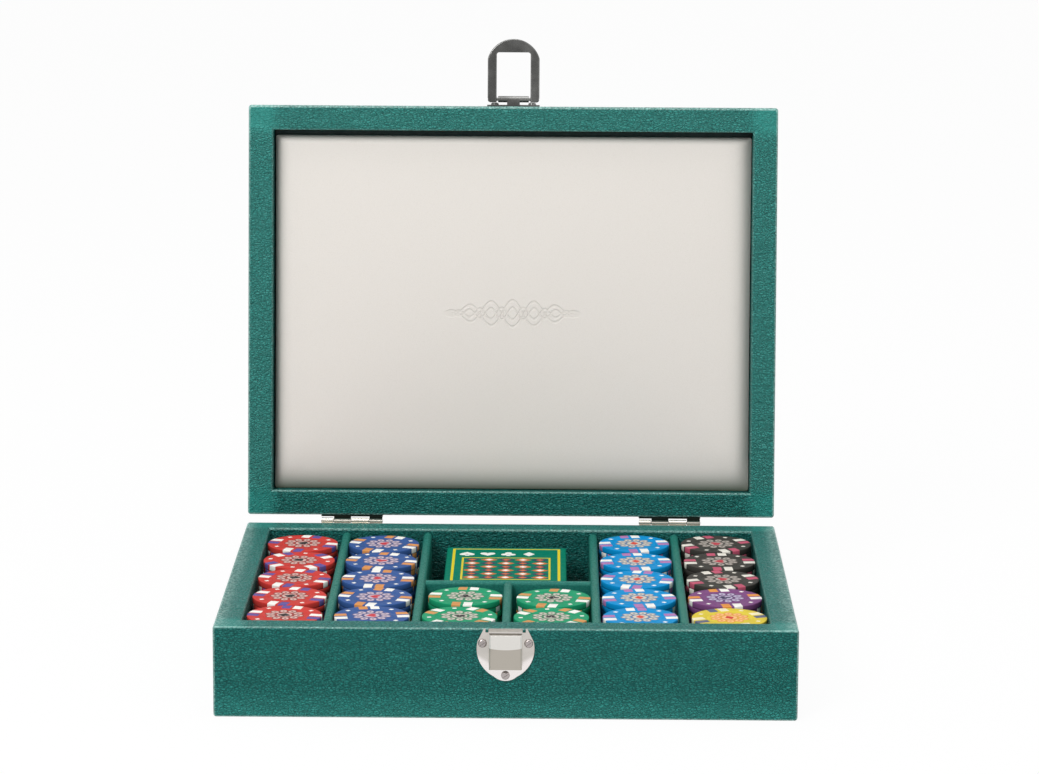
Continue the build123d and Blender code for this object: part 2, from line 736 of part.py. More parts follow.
def make_hasp_ring():
    """The ring that swings on the leaf: two legs under an arch, round an open window."""
    outer = hasp_half_width
    tip = hasp_y - hasp_reach
    arch_centre = tip + hasp_arch_radius
    spring_line = arch_centre - math.sqrt(hasp_arch_radius**2 - outer**2)
    heel = hasp_y + hasp_knuckle_radius
    plan = make_face([
        Line((-outer, heel), (outer, heel)),
        Line((outer, heel), (outer, spring_line)),
        ThreePointArc((outer, spring_line), (0, tip), (-outer, spring_line)),
        Line((-outer, spring_line), (-outer, heel)),
    ])
    shoulders = [corner for corner in plan.vertices() if abs(corner.Y - spring_line) < snap]
    plan = fillet(shoulders, hasp_shoulder_round)
    heels = [corner for corner in plan.vertices() if abs(corner.Y - heel) < snap]
    plan = fillet(heels, hasp_knuckle_radius)
    half = hasp_ring_thickness / 2
    ring = Pos(0, 0, hasp_z - half) * extrude(plan, hasp_ring_thickness)
    window = span_box(
        (-window_half_width, window_half_width),
        (hasp_y - hasp_window_reach, heel + overcut),
        (hasp_z - half - overcut, hasp_z + half + overcut),
    )
    far_corners = window.edges().filter_by(Axis.Z).sort_by(Axis.Y)[:2]
    ring -= fillet(far_corners, hasp_window_corner)
    broad = ring.faces().filter_by(Axis.Z)
    ring = fillet(broad.edges(), hasp_ring_edge_round)
    bore = hasp_pin_radius + running_clearance
    return ring - rod("X", bore, -outer - overcut, outer + overcut, (hasp_y, hasp_z))


def make_hasp():
    """The hasp's leaf, pin, ring and screws, drawn on the shut lid with the ring straight out."""
    pin_half = hasp_half_width - hasp_pin_inset
    return {
        "hasp_leaf": [make_hasp_leaf()],
        "hasp_pin": [rod("X", hasp_pin_radius, -pin_half, pin_half, (hasp_y, hasp_z))],
        "hasp_leaf_screws": [round_screw(point, plate_front) for point in leaf_screw_points()],
        "hasp_ring": [make_hasp_ring()],
    }


def opened(solids):
    """Solids of the shut lid, turned back about the hinge axis to the open pose."""
    turn = Pos(0, hinge_y, hinge_z) * Rot(X=-open_angle) * Pos(0, -hinge_y, -hinge_z)
    return [turn * solid for solid in solids]


def main():
    """Make every node, open the lid and write one STEP file for each node."""
    hinge_fixed, hinge_moving = make_hinges()
    lock_fixed, lock_moving = make_lock()
    nodes = {}
    for group in (make_base(), make_dividers(), make_stacks(), make_card_packs()):
        nodes.update(group)
    for group in (hinge_fixed, lock_fixed, lock_moving):
        nodes.update(group)
    for group in (make_lid(), hinge_moving, make_hasp()):
        for name, solids in group.items():
            nodes[name] = opened(solids)

    os.makedirs("parts", exist_ok=True)
    for name, parts in nodes.items():
        solids = [solid for part in parts for solid in part.solids()]
        export_step(Compound(solids), "parts/%s.step" % name)
    print("nodes", len(nodes))
    print("case %.1f wide, %.1f deep, %.1f high shut" % (case_width, case_depth, lid_top))
    print("hinge axis y %.3f z %.3f, open %.1f degrees" % (hinge_y, hinge_z, open_angle))
    turn = math.radians(-open_angle)
    out_y, out_z = hasp_y - hinge_y, hasp_z - hinge_z
    pivot_y = hinge_y + out_y * math.cos(turn) - out_z * math.sin(turn)
    pivot_z = hinge_z + out_y * math.sin(turn) + out_z * math.cos(turn)
    print("hasp axis when open y %.3f z %.3f" % (pivot_y, pivot_z))
    print("spring top z %.3f, lift travel %.1f" % (catch_pocket()[2] - catch_end_clearance, lift_travel))


main()
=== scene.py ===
"""Looks of an open, leather-covered games case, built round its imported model.

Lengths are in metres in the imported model's frame: X to the right, Y towards the hinges and Z up.
The classes below each hold one sub-assembly or one finish, and main() builds them in order.
"""
import json
import logging
import math
from dataclasses import dataclass, field
from enum import Enum
from typing import Any, ClassVar, Dict, List, Mapping, Optional, Sequence, Tuple, Union

import bmesh
import bpy
from mathutils import Matrix, Vector, noise


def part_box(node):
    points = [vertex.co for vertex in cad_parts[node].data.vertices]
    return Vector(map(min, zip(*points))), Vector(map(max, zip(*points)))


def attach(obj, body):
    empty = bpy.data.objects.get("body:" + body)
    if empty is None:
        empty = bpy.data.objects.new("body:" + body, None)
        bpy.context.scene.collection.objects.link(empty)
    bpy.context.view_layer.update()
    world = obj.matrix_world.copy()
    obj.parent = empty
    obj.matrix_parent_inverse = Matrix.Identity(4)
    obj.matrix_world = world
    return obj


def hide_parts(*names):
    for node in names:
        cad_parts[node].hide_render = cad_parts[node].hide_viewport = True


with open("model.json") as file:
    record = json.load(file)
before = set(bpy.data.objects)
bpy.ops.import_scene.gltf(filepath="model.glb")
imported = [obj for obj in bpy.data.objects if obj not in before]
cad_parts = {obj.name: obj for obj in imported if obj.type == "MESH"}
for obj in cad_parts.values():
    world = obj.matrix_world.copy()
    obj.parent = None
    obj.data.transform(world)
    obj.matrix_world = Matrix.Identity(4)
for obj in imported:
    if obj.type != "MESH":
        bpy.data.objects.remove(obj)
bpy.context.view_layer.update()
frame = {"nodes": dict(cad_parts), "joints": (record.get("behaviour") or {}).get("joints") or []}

LOG = logging.getLogger("games_case")
MM = 0.001

Point = Tuple[float, float, float]
Point2 = Tuple[float, float]
Outline = List[Point2]
Sides = Tuple[float, float, float, float]
Colour = Tuple[float, float, float, float]
Feed = Union[float, Sequence[float], bpy.types.NodeSocket]
Sockets = Mapping[str, bpy.types.NodeSocket]

MERGE_DISTANCE = 1e-7
NOISE_MIDDLE: Point = (0.5, 0.5, 0.5)
FULL_WHITE: Colour = (1.0, 1.0, 1.0, 1.0)


def shade(red: int, green: int, blue: int) -> Colour:
    """A colour as a screen shows it.

    Args:
        red: Screen value from 0 to 255.
        green: Screen value from 0 to 255.
        blue: Screen value from 0 to 255.

    Returns:
        The linear colour that a shader takes.
    """
    linear = []
    for value in (red, green, blue):
        share = value / 255
        linear.append(share / 12.92 if share <= 0.04045 else ((share + 0.055) / 1.055) ** 2.4)
    return (linear[0], linear[1], linear[2], 1.0)


def darkened(colour: Colour, share: float) -> Colour:
    """A colour whose light is brought down to a share of it."""
    red, green, blue = (value * share for value in colour[:3])
    return (red, green, blue, 1.0)


class NodeBench:
    """Places and joins the nodes of one node tree."""

    def __init__(self, tree: bpy.types.NodeTree) -> None:
        """Work on a tree that is there already."""
        self.tree = tree

    def add(self, kind: str, feeds: Optional[Mapping[Any, Feed]] = None, **settings: Any) -> bpy.types.Node:
        """Place a node.

        Args:
            kind: The node's type name.
            feeds: A value or a socket for each input, by name or by number.
            **settings: The node's own settings, such as its operation.

        Returns:
            The new node.
        """
        node = self.tree.nodes.new(kind)
        for name, value in settings.items():
            setattr(node, name, value)
        for key, value in (feeds or {}).items():
            self.feed(node.inputs[key], value)
        return node

    def feed(self, socket: bpy.types.NodeSocket, value: Feed) -> None:
        """Link a socket to an input, or set its value.

        Args:
            socket: The input.
            value: The socket to link to it, or else its value.
        """
        if isinstance(value, bpy.types.NodeSocket):
            self.tree.links.new(value, socket)
        else:
            socket.default_value = value

    def maths(self, operation: str, *values: Feed) -> bpy.types.NodeSocket:
        """The result of one Math node."""
        return self.add("ShaderNodeMath", dict(enumerate(values)), operation=operation).outputs[0]

    def larger(self, first: Feed, second: Feed) -> bpy.types.NodeSocket:
        """The larger of two values."""
        return self.maths("MAXIMUM", first, second)

    def smaller(self, first: Feed, second: Feed) -> bpy.types.NodeSocket:
        """The smaller of two values."""
        return self.maths("MINIMUM", first, second)

    def above(self, value: Feed, limit: Feed) -> bpy.types.NodeSocket:
        """A mask that is 1 where a value lies above a limit."""
        return self.maths("GREATER_THAN", value, limit)

    def below(self, value: Feed, limit: Feed) -> bpy.types.NodeSocket:
        """A mask that is 1 where a value lies below a limit."""
        return self.maths("LESS_THAN", value, limit)

    def between(self, value: Feed, low: Feed, high: Feed) -> bpy.types.NodeSocket:
        """A mask that is 1 where a value lies between two others."""
        return self.product(self.above(value, low), self.below(value, high))

    def vector(self, operation: str, *values: Feed, scale: Feed = 1.0) -> bpy.types.NodeSocket:
        """The result of one Vector Math node.

        Args:
            operation: What the node does.
            *values: A value or a socket for each of its vectors.
            scale: The factor of a SCALE node.

        Returns:
            The vector, or the number that a LENGTH node gives.
        """
        node = self.add("ShaderNodeVectorMath", dict(enumerate(values)), operation=operation)
        if operation == "SCALE":
            self.feed(node.inputs["Scale"], scale)
        return node.outputs["Value"] if operation == "LENGTH" else node.outputs[0]

    def split(self, vector: Feed) -> Sockets:
        """A vector's X, Y and Z."""
        return self.add("ShaderNodeSeparateXYZ", {0: vector}).outputs

    def combined(self, **parts: Feed) -> bpy.types.NodeSocket:
        """A vector made from its X, Y and Z, of which those left out are 0."""
        return self.add("ShaderNodeCombineXYZ", parts).outputs[0]

    def product(self, *values: Feed) -> bpy.types.NodeSocket:
        """All values multiplied together.

        Args:
            *values: A number or a socket for each factor.

        Returns:
            The product.
        """
        result = values[0]
        for value in values[1:]:
            result = self.maths("MULTIPLY", result, value)
        return result

    def step(self, value: Feed, low: Feed, high: Feed) -> bpy.types.NodeSocket:
        """A smooth step that is 0 at low and 1 at high."""
        feeds = {"Value": value, "From Min": low, "From Max": high}
        return self.add("ShaderNodeMapRange", feeds, interpolation_type="SMOOTHSTEP").outputs["Result"]

    def span(self, value: Feed, low: float, high: float) -> bpy.types.NodeSocket:
        """A value of 0 to 1 stretched evenly between low and high."""
        feeds = {"Value": value, "To Min": low, "To Max": high}
        return self.add("ShaderNodeMapRange", feeds).outputs["Result"]

    def tint(self, share: Feed, first: Feed, second: Feed) -> bpy.types.NodeSocket:
        """The first colour turned into the second by share."""
        return self.add("ShaderNodeMix", {0: share, 6: first, 7: second}, data_type="RGBA").outputs[2]

    def noise(self, place: Feed, scale: float, detail: float = 2.0) -> bpy.types.Node:
        """A Noise Texture node."""
        feeds = {"Vector": place, "Scale": scale, "Detail": detail}
        return self.add("ShaderNodeTexNoise", feeds)


class SurfacePattern:
    """A shader node group, built once and placed in every material that asks for it."""

    NAME: ClassVar[str] = ""
    INPUTS: ClassVar[Tuple[Tuple[str, str, Any], ...]] = ()
    OUTPUTS: ClassVar[Tuple[str, ...]] = ()

    def fill(self, bench: NodeBench, entry: bpy.types.Node) -> Sequence[bpy.types.NodeSocket]:
        """Make the group's nodes from its input node, and give a socket for each output."""
        raise NotImplementedError(self.NAME)

    def tree(self) -> bpy.types.NodeTree:
        """Build the group, or find it where it is there already.

        Returns:
            The node group.
        """
        group = bpy.data.node_groups.get(self.NAME)
        if group is not None:
            return group
        group = bpy.data.node_groups.new(self.NAME, "ShaderNodeTree")
        for label, kind, value in self.INPUTS:
            socket = group.interface.new_socket(name=label, in_out="INPUT", socket_type=kind)
            if value is not None:
                socket.default_value = value
        for label in self.OUTPUTS:
            group.interface.new_socket(name=label, in_out="OUTPUT", socket_type="NodeSocketFloat")
        bench = NodeBench(group)
        entry = bench.add("NodeGroupInput")
        leave = bench.add("NodeGroupOutput")
        for socket, result in zip(leave.inputs, self.fill(bench, entry)):
            bench.feed(socket, result)
        return group


@dataclass(frozen=True)
class PebbleGrain(SurfacePattern):
    """Domed pebbles with wandering creases between them, as in tumbled leather.

    Its sizes are in widths of a pebble.
    """

    NAME = "pebble_grain"
    INPUTS = (("Vector", "NodeSocketVector", None), ("Cell", "NodeSocketFloat", 1.7 * MM))
    OUTPUTS = ("Height", "Valley")
    turn: Point = (0.3, 0.35, 0.3)
    stretch: Point = (0.62, 0.8, 1.2)
    drifts: Tuple[Point2, ...] = ((0.16, 2.6), (0.6, 1.1))
    crease_width: float = 0.16
    ripple_pitch: float = 0.62
    pore_pitch: float = 3.1
    dome_rise: float = 0.42
    crease_rise: float = 0.20
    ripple_rise: float = 0.95
    pore_rise: float = 0.10

    def fill(self, bench: NodeBench, entry: bpy.types.Node) -> Sequence[bpy.types.NodeSocket]:
        """Make the group's nodes.

        Args:
            bench: The group's bench.
            entry: The group's input node.

        Returns:
            The grain's height and the mask of its creases.
        """
        scale = bench.maths("DIVIDE", 1.0, entry.outputs["Cell"])
        slant = bench.add("ShaderNodeMapping", {
            "Vector": entry.outputs["Vector"], "Rotation": self.turn, "Scale": self.stretch})
        place = bench.vector("SCALE", slant.outputs[0], scale=scale)
        for pitch, reach in self.drifts:
            drift = bench.vector("SUBTRACT", bench.noise(place, pitch).outputs["Color"], NOISE_MIDDLE)
            place = bench.vector("ADD", place, bench.vector("SCALE", drift, scale=reach))
        cells = {"Vector": place, "Scale": 1.0}
        middle = bench.add("ShaderNodeTexVoronoi", cells, feature="F1").outputs["Distance"]
        border = bench.add("ShaderNodeTexVoronoi", cells, feature="DISTANCE_TO_EDGE").outputs["Distance"]
        dome = bench.maths("SUBTRACT", 1.0, bench.product(middle, middle))
        crease = bench.step(border, 0.0, self.crease_width)
        ripple = bench.noise(place, self.ripple_pitch).outputs["Fac"]
        pores = bench.noise(place, self.pore_pitch).outputs["Fac"]
        height = bench.product(dome, self.dome_rise)
        for layer, rise in ((crease, self.crease_rise), (ripple, self.ripple_rise), (pores, self.pore_rise)):
            height = bench.maths("ADD", height, bench.product(layer, rise))
        return height, bench.maths("SUBTRACT", 1.0, crease)


@dataclass(frozen=True)
class CoverMarks(SurfacePattern):
    """Masks for a box with an opening: painted highlights along its outer and inner edges, stretched rim
    corners with their folds, and the rims, foot and sides that carry painted light.

    Its widths are multiples of the Reach input. A pair gives where a mark ends and where it is full.
    """

    NAME = "cover_marks"
    INPUTS = (
        ("Vector", "NodeSocketVector", None), ("Half", "NodeSocketVector", None),
        ("Opening", "NodeSocketVector", None), ("Reach", "NodeSocketFloat", 1.3 * MM),
        ("Face", "NodeSocketFloat", 1.0),
    )
    OUTPUTS = ("Edges", "Fold", "Stretch", "Foot", "Side", "Rim", "Rear")
    outer_edge: Point2 = (1.0, 0.25)
    broad_edge: Point2 = (1.25, 0.8)
    closing_depth: float = 1.6
    rim_depth: Point2 = (1.3, 0.5)
    inner_edge: Point2 = (1.0, 0.3)
    inner_slack: float = -0.4
    inner_tones: Point2 = (0.2, 0.75)
    fold_width: Point2 = (0.5, 0.0)
    bead_scale: float = 620.0
    bead_limits: Point2 = (0.36, 0.62)
    bead_tones: Point2 = (0.5, 1.0)
    corner_reach: Point2 = (14.0, 7.0)
    foot_rise: Point2 = (14.0, 0.0)
    side_depth: Point2 = (7.0, 0.0)
    rear_depth: Point2 = (12.0, 9.0)

    def mark(self, bench: NodeBench, value: Feed, reach: Feed, limits: Point2) -> bpy.types.NodeSocket:
        """A smooth step between two multiples of the reach."""
        return bench.step(value, *(bench.product(reach, limit) for limit in limits))

    def fill(self, bench: NodeBench, entry: bpy.types.Node) -> Sequence[bpy.types.NodeSocket]:
        """Make the group's nodes.

        Args:
            bench: The group's bench.
            entry: The group's input node.

        Returns:
            A mask for each output.
        """
        reach, face = entry.outputs["Reach"], entry.outputs["Face"]
        place = bench.vector("ABSOLUTE", entry.outputs["Vector"])
        signed = bench.split(entry.outputs["Vector"])
        half = bench.split(entry.outputs["Half"])
        inward = bench.split(bench.vector("SUBTRACT", entry.outputs["Half"], place))
        outward = bench.split(bench.vector("SUBTRACT", place, entry.outputs["Opening"]))
        nearer = bench.smaller(inward["X"], inward["Y"])
        farther = bench.larger(inward["X"], inward["Y"])
        second = bench.larger(nearer, bench.smaller(farther, inward["Z"]))
        hinge_half = bench.above(signed["Y"], 0.0)
        faced = bench.above(bench.product(signed["Z"], face), 0.0)
        rim = bench.product(faced, self.mark(bench, inward["Z"], reach, self.rim_depth))

        # The edge masks are painted highlights: a beaded bright line along the outer edges, broader along the
        # lid's closing edge, and one along the inner edges that is brighter on the side facing the light.
        closing = bench.below(inward["Y"], bench.product(reach, self.closing_depth))
        closing = bench.product(closing, bench.below(signed["Y"], 0.0), bench.below(face, 0.0))
        broad = bench.product(self.mark(bench, second, reach, self.broad_edge), closing)
        outer = bench.larger(self.mark(bench, second, reach, self.outer_edge), broad)
        beside = bench.larger(outward["X"], outward["Y"])
        within = bench.above(beside, bench.product(reach, self.inner_slack))
        inner = bench.product(self.mark(bench, beside, reach, self.inner_edge), rim, within)
        lit = bench.product(bench.above(outward["Y"], outward["X"]), hinge_half)
        inner = bench.product(inner, bench.span(lit, *self.inner_tones))
        beads = bench.noise(entry.outputs["Vector"], self.bead_scale).outputs["Fac"]
        rough = bench.span(bench.step(beads, *self.bead_limits), *self.bead_tones)
        edges = bench.product(bench.larger(outer, inner), rough)

        apart = bench.maths("ABSOLUTE", bench.maths("SUBTRACT", outward["X"], outward["Y"]))
        corner = bench.above(bench.smaller(outward["X"], outward["Y"]), 0.0)
        fold = bench.product(self.mark(bench, apart, reach, self.fold_width), corner, rim)
        near = bench.maths("SUBTRACT", farther, reach)
        stretch = bench.product(self.mark(bench, near, reach, self.corner_reach), rim)
        raised = bench.maths("ADD", signed["Z"], half["Z"])
        foot = self.mark(bench, raised, reach, self.foot_rise)
        side = bench.product(self.mark(bench, inward["X"], reach, self.side_depth), rim)
        rear = bench.product(self.mark(bench, inward["Y"], reach, self.rear_depth), hinge_half)
        return edges, fold, stretch, foot, side, rim, rear


@dataclass(frozen=True)
class FineSpeckle(SurfacePattern):
    """Fine specks and broad cloudy patches of one size, for clay, card, cloth, board and metal."""

    NAME = "fine_speckle"
    INPUTS = (("Vector", "NodeSocketVector", None), ("Size", "NodeSocketFloat", 0.4 * MM))
    OUTPUTS = ("Specks", "Cloud")
    speck_detail: float = 4.0
    cloud_pitch: float = 0.09
    cloud_limits: Point2 = (0.35, 0.65)

    def fill(self, bench: NodeBench, entry: bpy.types.Node) -> Sequence[bpy.types.NodeSocket]:
        """Make the group's nodes.

        Args:
            bench: The group's bench.
            entry: The group's input node.

        Returns:
            The specks and the cloudy patches.
        """
        scale = bench.maths("DIVIDE", 1.0, entry.outputs["Size"])
        place = bench.vector("SCALE", entry.outputs["Vector"], scale=scale)
        specks = bench.noise(place, 1.0, self.speck_detail).outputs["Fac"]
        cloud = bench.noise(place, self.cloud_pitch).outputs["Fac"]
        return specks, bench.step(cloud, *self.cloud_limits)


@dataclass(frozen=True)
class EdgeSpots(SurfacePattern):
    """A chip's rim spots in its own coordinates: paired bars at four places and a dash between each two."""

    NAME = "edge_spots"
    INPUTS = (
        ("Vector", "NodeSocketVector", None),
        ("Inner", "NodeSocketFloat", 12.9 * MM),
        ("Gap", "NodeSocketFloat", 0.75 * MM),
        ("Width", "NodeSocketFloat", 5.4 * MM),
        ("Dash Reach", "NodeSocketFloat", 16.1 * MM),
        ("Dash Half", "NodeSocketFloat", 1.05 * MM),
    )
    OUTPUTS = ("First", "Second", "Dash")
    dash_turn: float = math.pi / 4

    def bars(self, bench: NodeBench, along: Feed, across: Feed, sizes: Mapping[str, Feed]) -> List[Feed]:
        """Masks of two bars that cross a chip side by side and show only near its rim.

        Args:
            bench: The group's bench.
            along: The coordinate that runs along the bars.
            across: The coordinate that runs across them.
            sizes: Sockets for the bars' inner end, their gap and their outer side.

        Returns:
            The masks of the bar on the positive side and of the one on the negative side.
        """
        end = bench.above(bench.maths("ABSOLUTE", along), sizes["Inner"])
        mirrored = bench.maths("MULTIPLY", across, -1.0)
        return [
            bench.product(end, bench.between(side, sizes["Gap"], sizes["Width"]))
            for side in (across, mirrored)
        ]

    def fill(self, bench: NodeBench, entry: bpy.types.Node) -> Sequence[bpy.types.NodeSocket]:
        """Make the group's nodes.

        Args:
            bench: The group's bench.
            entry: The group's input node.

        Returns:
            The masks of the first bars, the second bars and the dashes.
        """
        sizes, half = entry.outputs, entry.outputs["Dash Half"]
        chip = bench.split(entry.outputs["Vector"])
        one = self.bars(bench, chip["X"], chip["Y"], sizes)
        two = self.bars(bench, chip["Y"], chip["X"], sizes)
        first = bench.larger(one[0], two[0])
        second = bench.larger(one[1], two[1])
        slant = bench.add("ShaderNodeVectorRotate", {
            "Vector": entry.outputs["Vector"], "Angle": self.dash_turn}, rotation_type="Z_AXIS")
        turned = bench.split(slant.outputs[0])
        u = bench.maths("ABSOLUTE", turned["X"])
        v = bench.maths("ABSOLUTE", turned["Y"])
        dashes = []
        for far, near in ((u, v), (v, u)):
            offset = bench.maths("ABSOLUTE", bench.maths("SUBTRACT", far, sizes["Dash Reach"]))
            dashes.append(bench.product(bench.below(offset, half), bench.below(near, half)))
        return first, second, bench.larger(*dashes)


class MaterialBench(NodeBench):
    """The bench of one new material, with its Principled shader in place."""

    def __init__(self, name: str) -> None:
        """Make an empty material.

        Args:
            name: The material's name.
        """
        self.material = bpy.data.materials.new(name)
        self.material.use_nodes = True
        super().__init__(self.material.node_tree)
        self.tree.nodes.clear()
        self.shader = self.add("ShaderNodeBsdfPrincipled")
        self.output = self.add("ShaderNodeOutputMaterial", {"Surface": self.shader.outputs[0]})

    def object_place(self) -> bpy.types.NodeSocket:
        """The surface point in the object's own coordinates."""
        return self.add("ShaderNodeTexCoord").outputs["Object"]

    def attribute(self, name: str, output: str) -> bpy.types.NodeSocket:
        """An attribute of the mesh."""
        return self.add("ShaderNodeAttribute", attribute_name=name).outputs[output]

    def pattern(self, pattern: SurfacePattern, feeds: Mapping[str, Feed]) -> Sockets:
        """Place a pattern's node group and give its outputs."""
        return self.add("ShaderNodeGroup", feeds, node_tree=pattern.tree()).outputs

    def speckle(self, size: float) -> Sockets:
        """The specks and the cloudy patches of one size, fixed to the object."""
        return self.pattern(FineSpeckle(), {"Vector": self.object_place(), "Size": size})

    def set(self, **values: Feed) -> None:
        """Set or link the Principled shader's inputs, with underscores for spaces."""
        for name, value in values.items():
            self.feed(self.shader.inputs[name.replace("_", " ")], value)

    def bump(self, height: Feed, distance: float, strength: float = 1.0) -> None:
        """Raise the surface by height times distance."""
        feeds = {"Height": height, "Distance": distance, "Strength": strength}
        self.set(Normal=self.add("ShaderNodeBump", feeds).outputs[0])


@dataclass(frozen=True)
class CoverFrame:
    """Where a leather cover lies: its own box stands on the middle of its shape, square to the axes.

    The shares say how much painted light makes the leather lighter at its foot, on its rim in front and at
    the hinges, and on its rim's two sides. The face is 1 where the opening looks up and -1 where it looks
    down.
    """

    centre: Point
    turn: float
    half: Point
    opening: Point2
    foot: float = 0.0
    lift: Point2 = (0.0, 0.0)
    side: float = 0.0
    face: float = 1.0

    def local(self, bench: NodeBench, place: bpy.types.NodeSocket) -> bpy.types.NodeSocket:
        """Turn and move the object coordinates into the cover's own box.

        Args:
            bench: The material's bench.
            place: The object coordinates.

        Returns:
            The coordinates from the box's middle.
        """
        back = Matrix.Rotation(-self.turn, 4, "X")
        shift = -(back @ Vector(self.centre))
        feeds = {"Vector": place, "Location": tuple(shift), "Rotation": (-self.turn, 0.0, 0.0)}
        return bench.add("ShaderNodeMapping", feeds, vector_type="POINT").outputs[0]


@dataclass(frozen=True)
class CoverPaintedLightAndFolds:
    """How a leather cover's painted light and folds show: their colours, and how much of each."""

    # rim, foot, side and edge colour the painted light: lighter rims, a lighter foot, a painted sheen with
    # flecks on the sides and painted highlights along the edges. The stretched corners are lighter by painted
    # light too; the fold is a darker line.
    rim: Colour = shade(84, 172, 162)
    foot: Colour = shade(72, 178, 168)
    side: Colour = shade(170, 206, 200)
    edge: Colour = shade(172, 216, 208)
    edge_share: float = 0.9
    stretch_share: float = 0.4
    fold_share: float = 0.15
    fold_depth: float = 0.08
    fleck_limits: Point2 = (0.85, 1.2)
    fleck_tones: Point2 = (0.25, 1.0)
    stretched_relief: float = 0.4


@dataclass(frozen=True)
class PebbledLeather:
    """Dyed leather with a pebbled grain, with painted shade in its creases and a painted highlight on its
    pebble tops.
    """

    name: str
    colour: Colour
    # crease is the painted shade in the creases; light is the painted highlight on the pebble tops and on
    # stretched rim corners.
    crease: Colour
    light: Colour
    cell: float = 1.12 * MM
    relief: float = 2.4 * MM
    roughness: float = 0.38
    crease_roughness: float = 0.2
    gloss: float = 0.22
    # Pebble tops within these limits get the painted highlight; crease_share sets the painted shade in the
    # creases.
    top_limits: Point2 = (0.75, 1.25)
    top_share: float = 0.34
    crease_share: float = 0.40
    cover: Optional[CoverFrame] = None
    light_and_folds: CoverPaintedLightAndFolds = CoverPaintedLightAndFolds()

    def wear_and_painted_light(
        self, bench: MaterialBench, marks: Sockets, body: Feed, height: Feed
    ) -> Tuple[Feed, Feed]:
        """Lay a cover's painted light, its smoother stretched corners and its folds over its leather.

        Args:
            bench: The material's bench.
            marks: The masks of the marks.
            body: The leather's colour.
            height: The grain's height.

        Returns:
            The marked colour and the marked height.
        """
        light_and_folds, cover = self.light_and_folds, self.cover
        # Painted light: lighter rims, the share changing towards the hinges; lighter stretched corners; a
        # lighter foot; a painted sheen with flecks on the rim's sides; painted highlights along the edges.
        lift = bench.product(marks["Rim"], bench.span(marks["Rear"], *cover.lift))
        body = bench.tint(lift, body, light_and_folds.rim)
        body = bench.tint(bench.product(marks["Stretch"], light_and_folds.stretch_share), body, self.light)
        body = bench.tint(bench.product(marks["Foot"], cover.foot), body, light_and_folds.foot)
        flecks = bench.span(bench.step(height, *light_and_folds.fleck_limits), *light_and_folds.fleck_tones)
        body = bench.tint(bench.product(marks["Side"], flecks, cover.side), body, light_and_folds.side)
        body = bench.tint(bench.product(marks["Edges"], light_and_folds.edge_share), body, light_and_folds.edge)
        body = bench.tint(bench.product(marks["Fold"], light_and_folds.fold_share), body, self.crease)
        height = bench.product(height, bench.span(marks["Stretch"], 1.0, light_and_folds.stretched_relief))
        return body, bench.maths("SUBTRACT", height, bench.product(marks["Fold"], light_and_folds.fold_depth))

    def build(self) -> bpy.types.Material:
        """Make the material.

        Returns:
            The material.
        """
        bench = MaterialBench(self.name)
        place = bench.object_place()
        grain = bench.pattern(PebbleGrain(), {"Vector": place, "Cell": self.cell})
        height, valley = grain["Height"], grain["Valley"]
        # Painted highlight on the pebble tops, then painted shade in the creases.
        tops = bench.product(bench.step(height, *self.top_limits), self.top_share)
        body = bench.tint(tops, self.colour, self.light)
        body = bench.tint(bench.product(valley, self.crease_share), body, self.crease)
        if self.cover:
            marks = bench.pattern(CoverMarks(), {
                "Vector": self.cover.local(bench, place), "Half": self.cover.half,
                "Opening": (*self.cover.opening, 0.0), "Face": self.cover.face})
            body, height = self.wear_and_painted_light(bench, marks, body, height)
        bench.set(Base_Color=body, Specular_IOR_Level=self.gloss)
        bench.set(Roughness=bench.span(valley, self.roughness, self.roughness + self.crease_roughness))
        bench.bump(height, self.relief)
        return bench.material


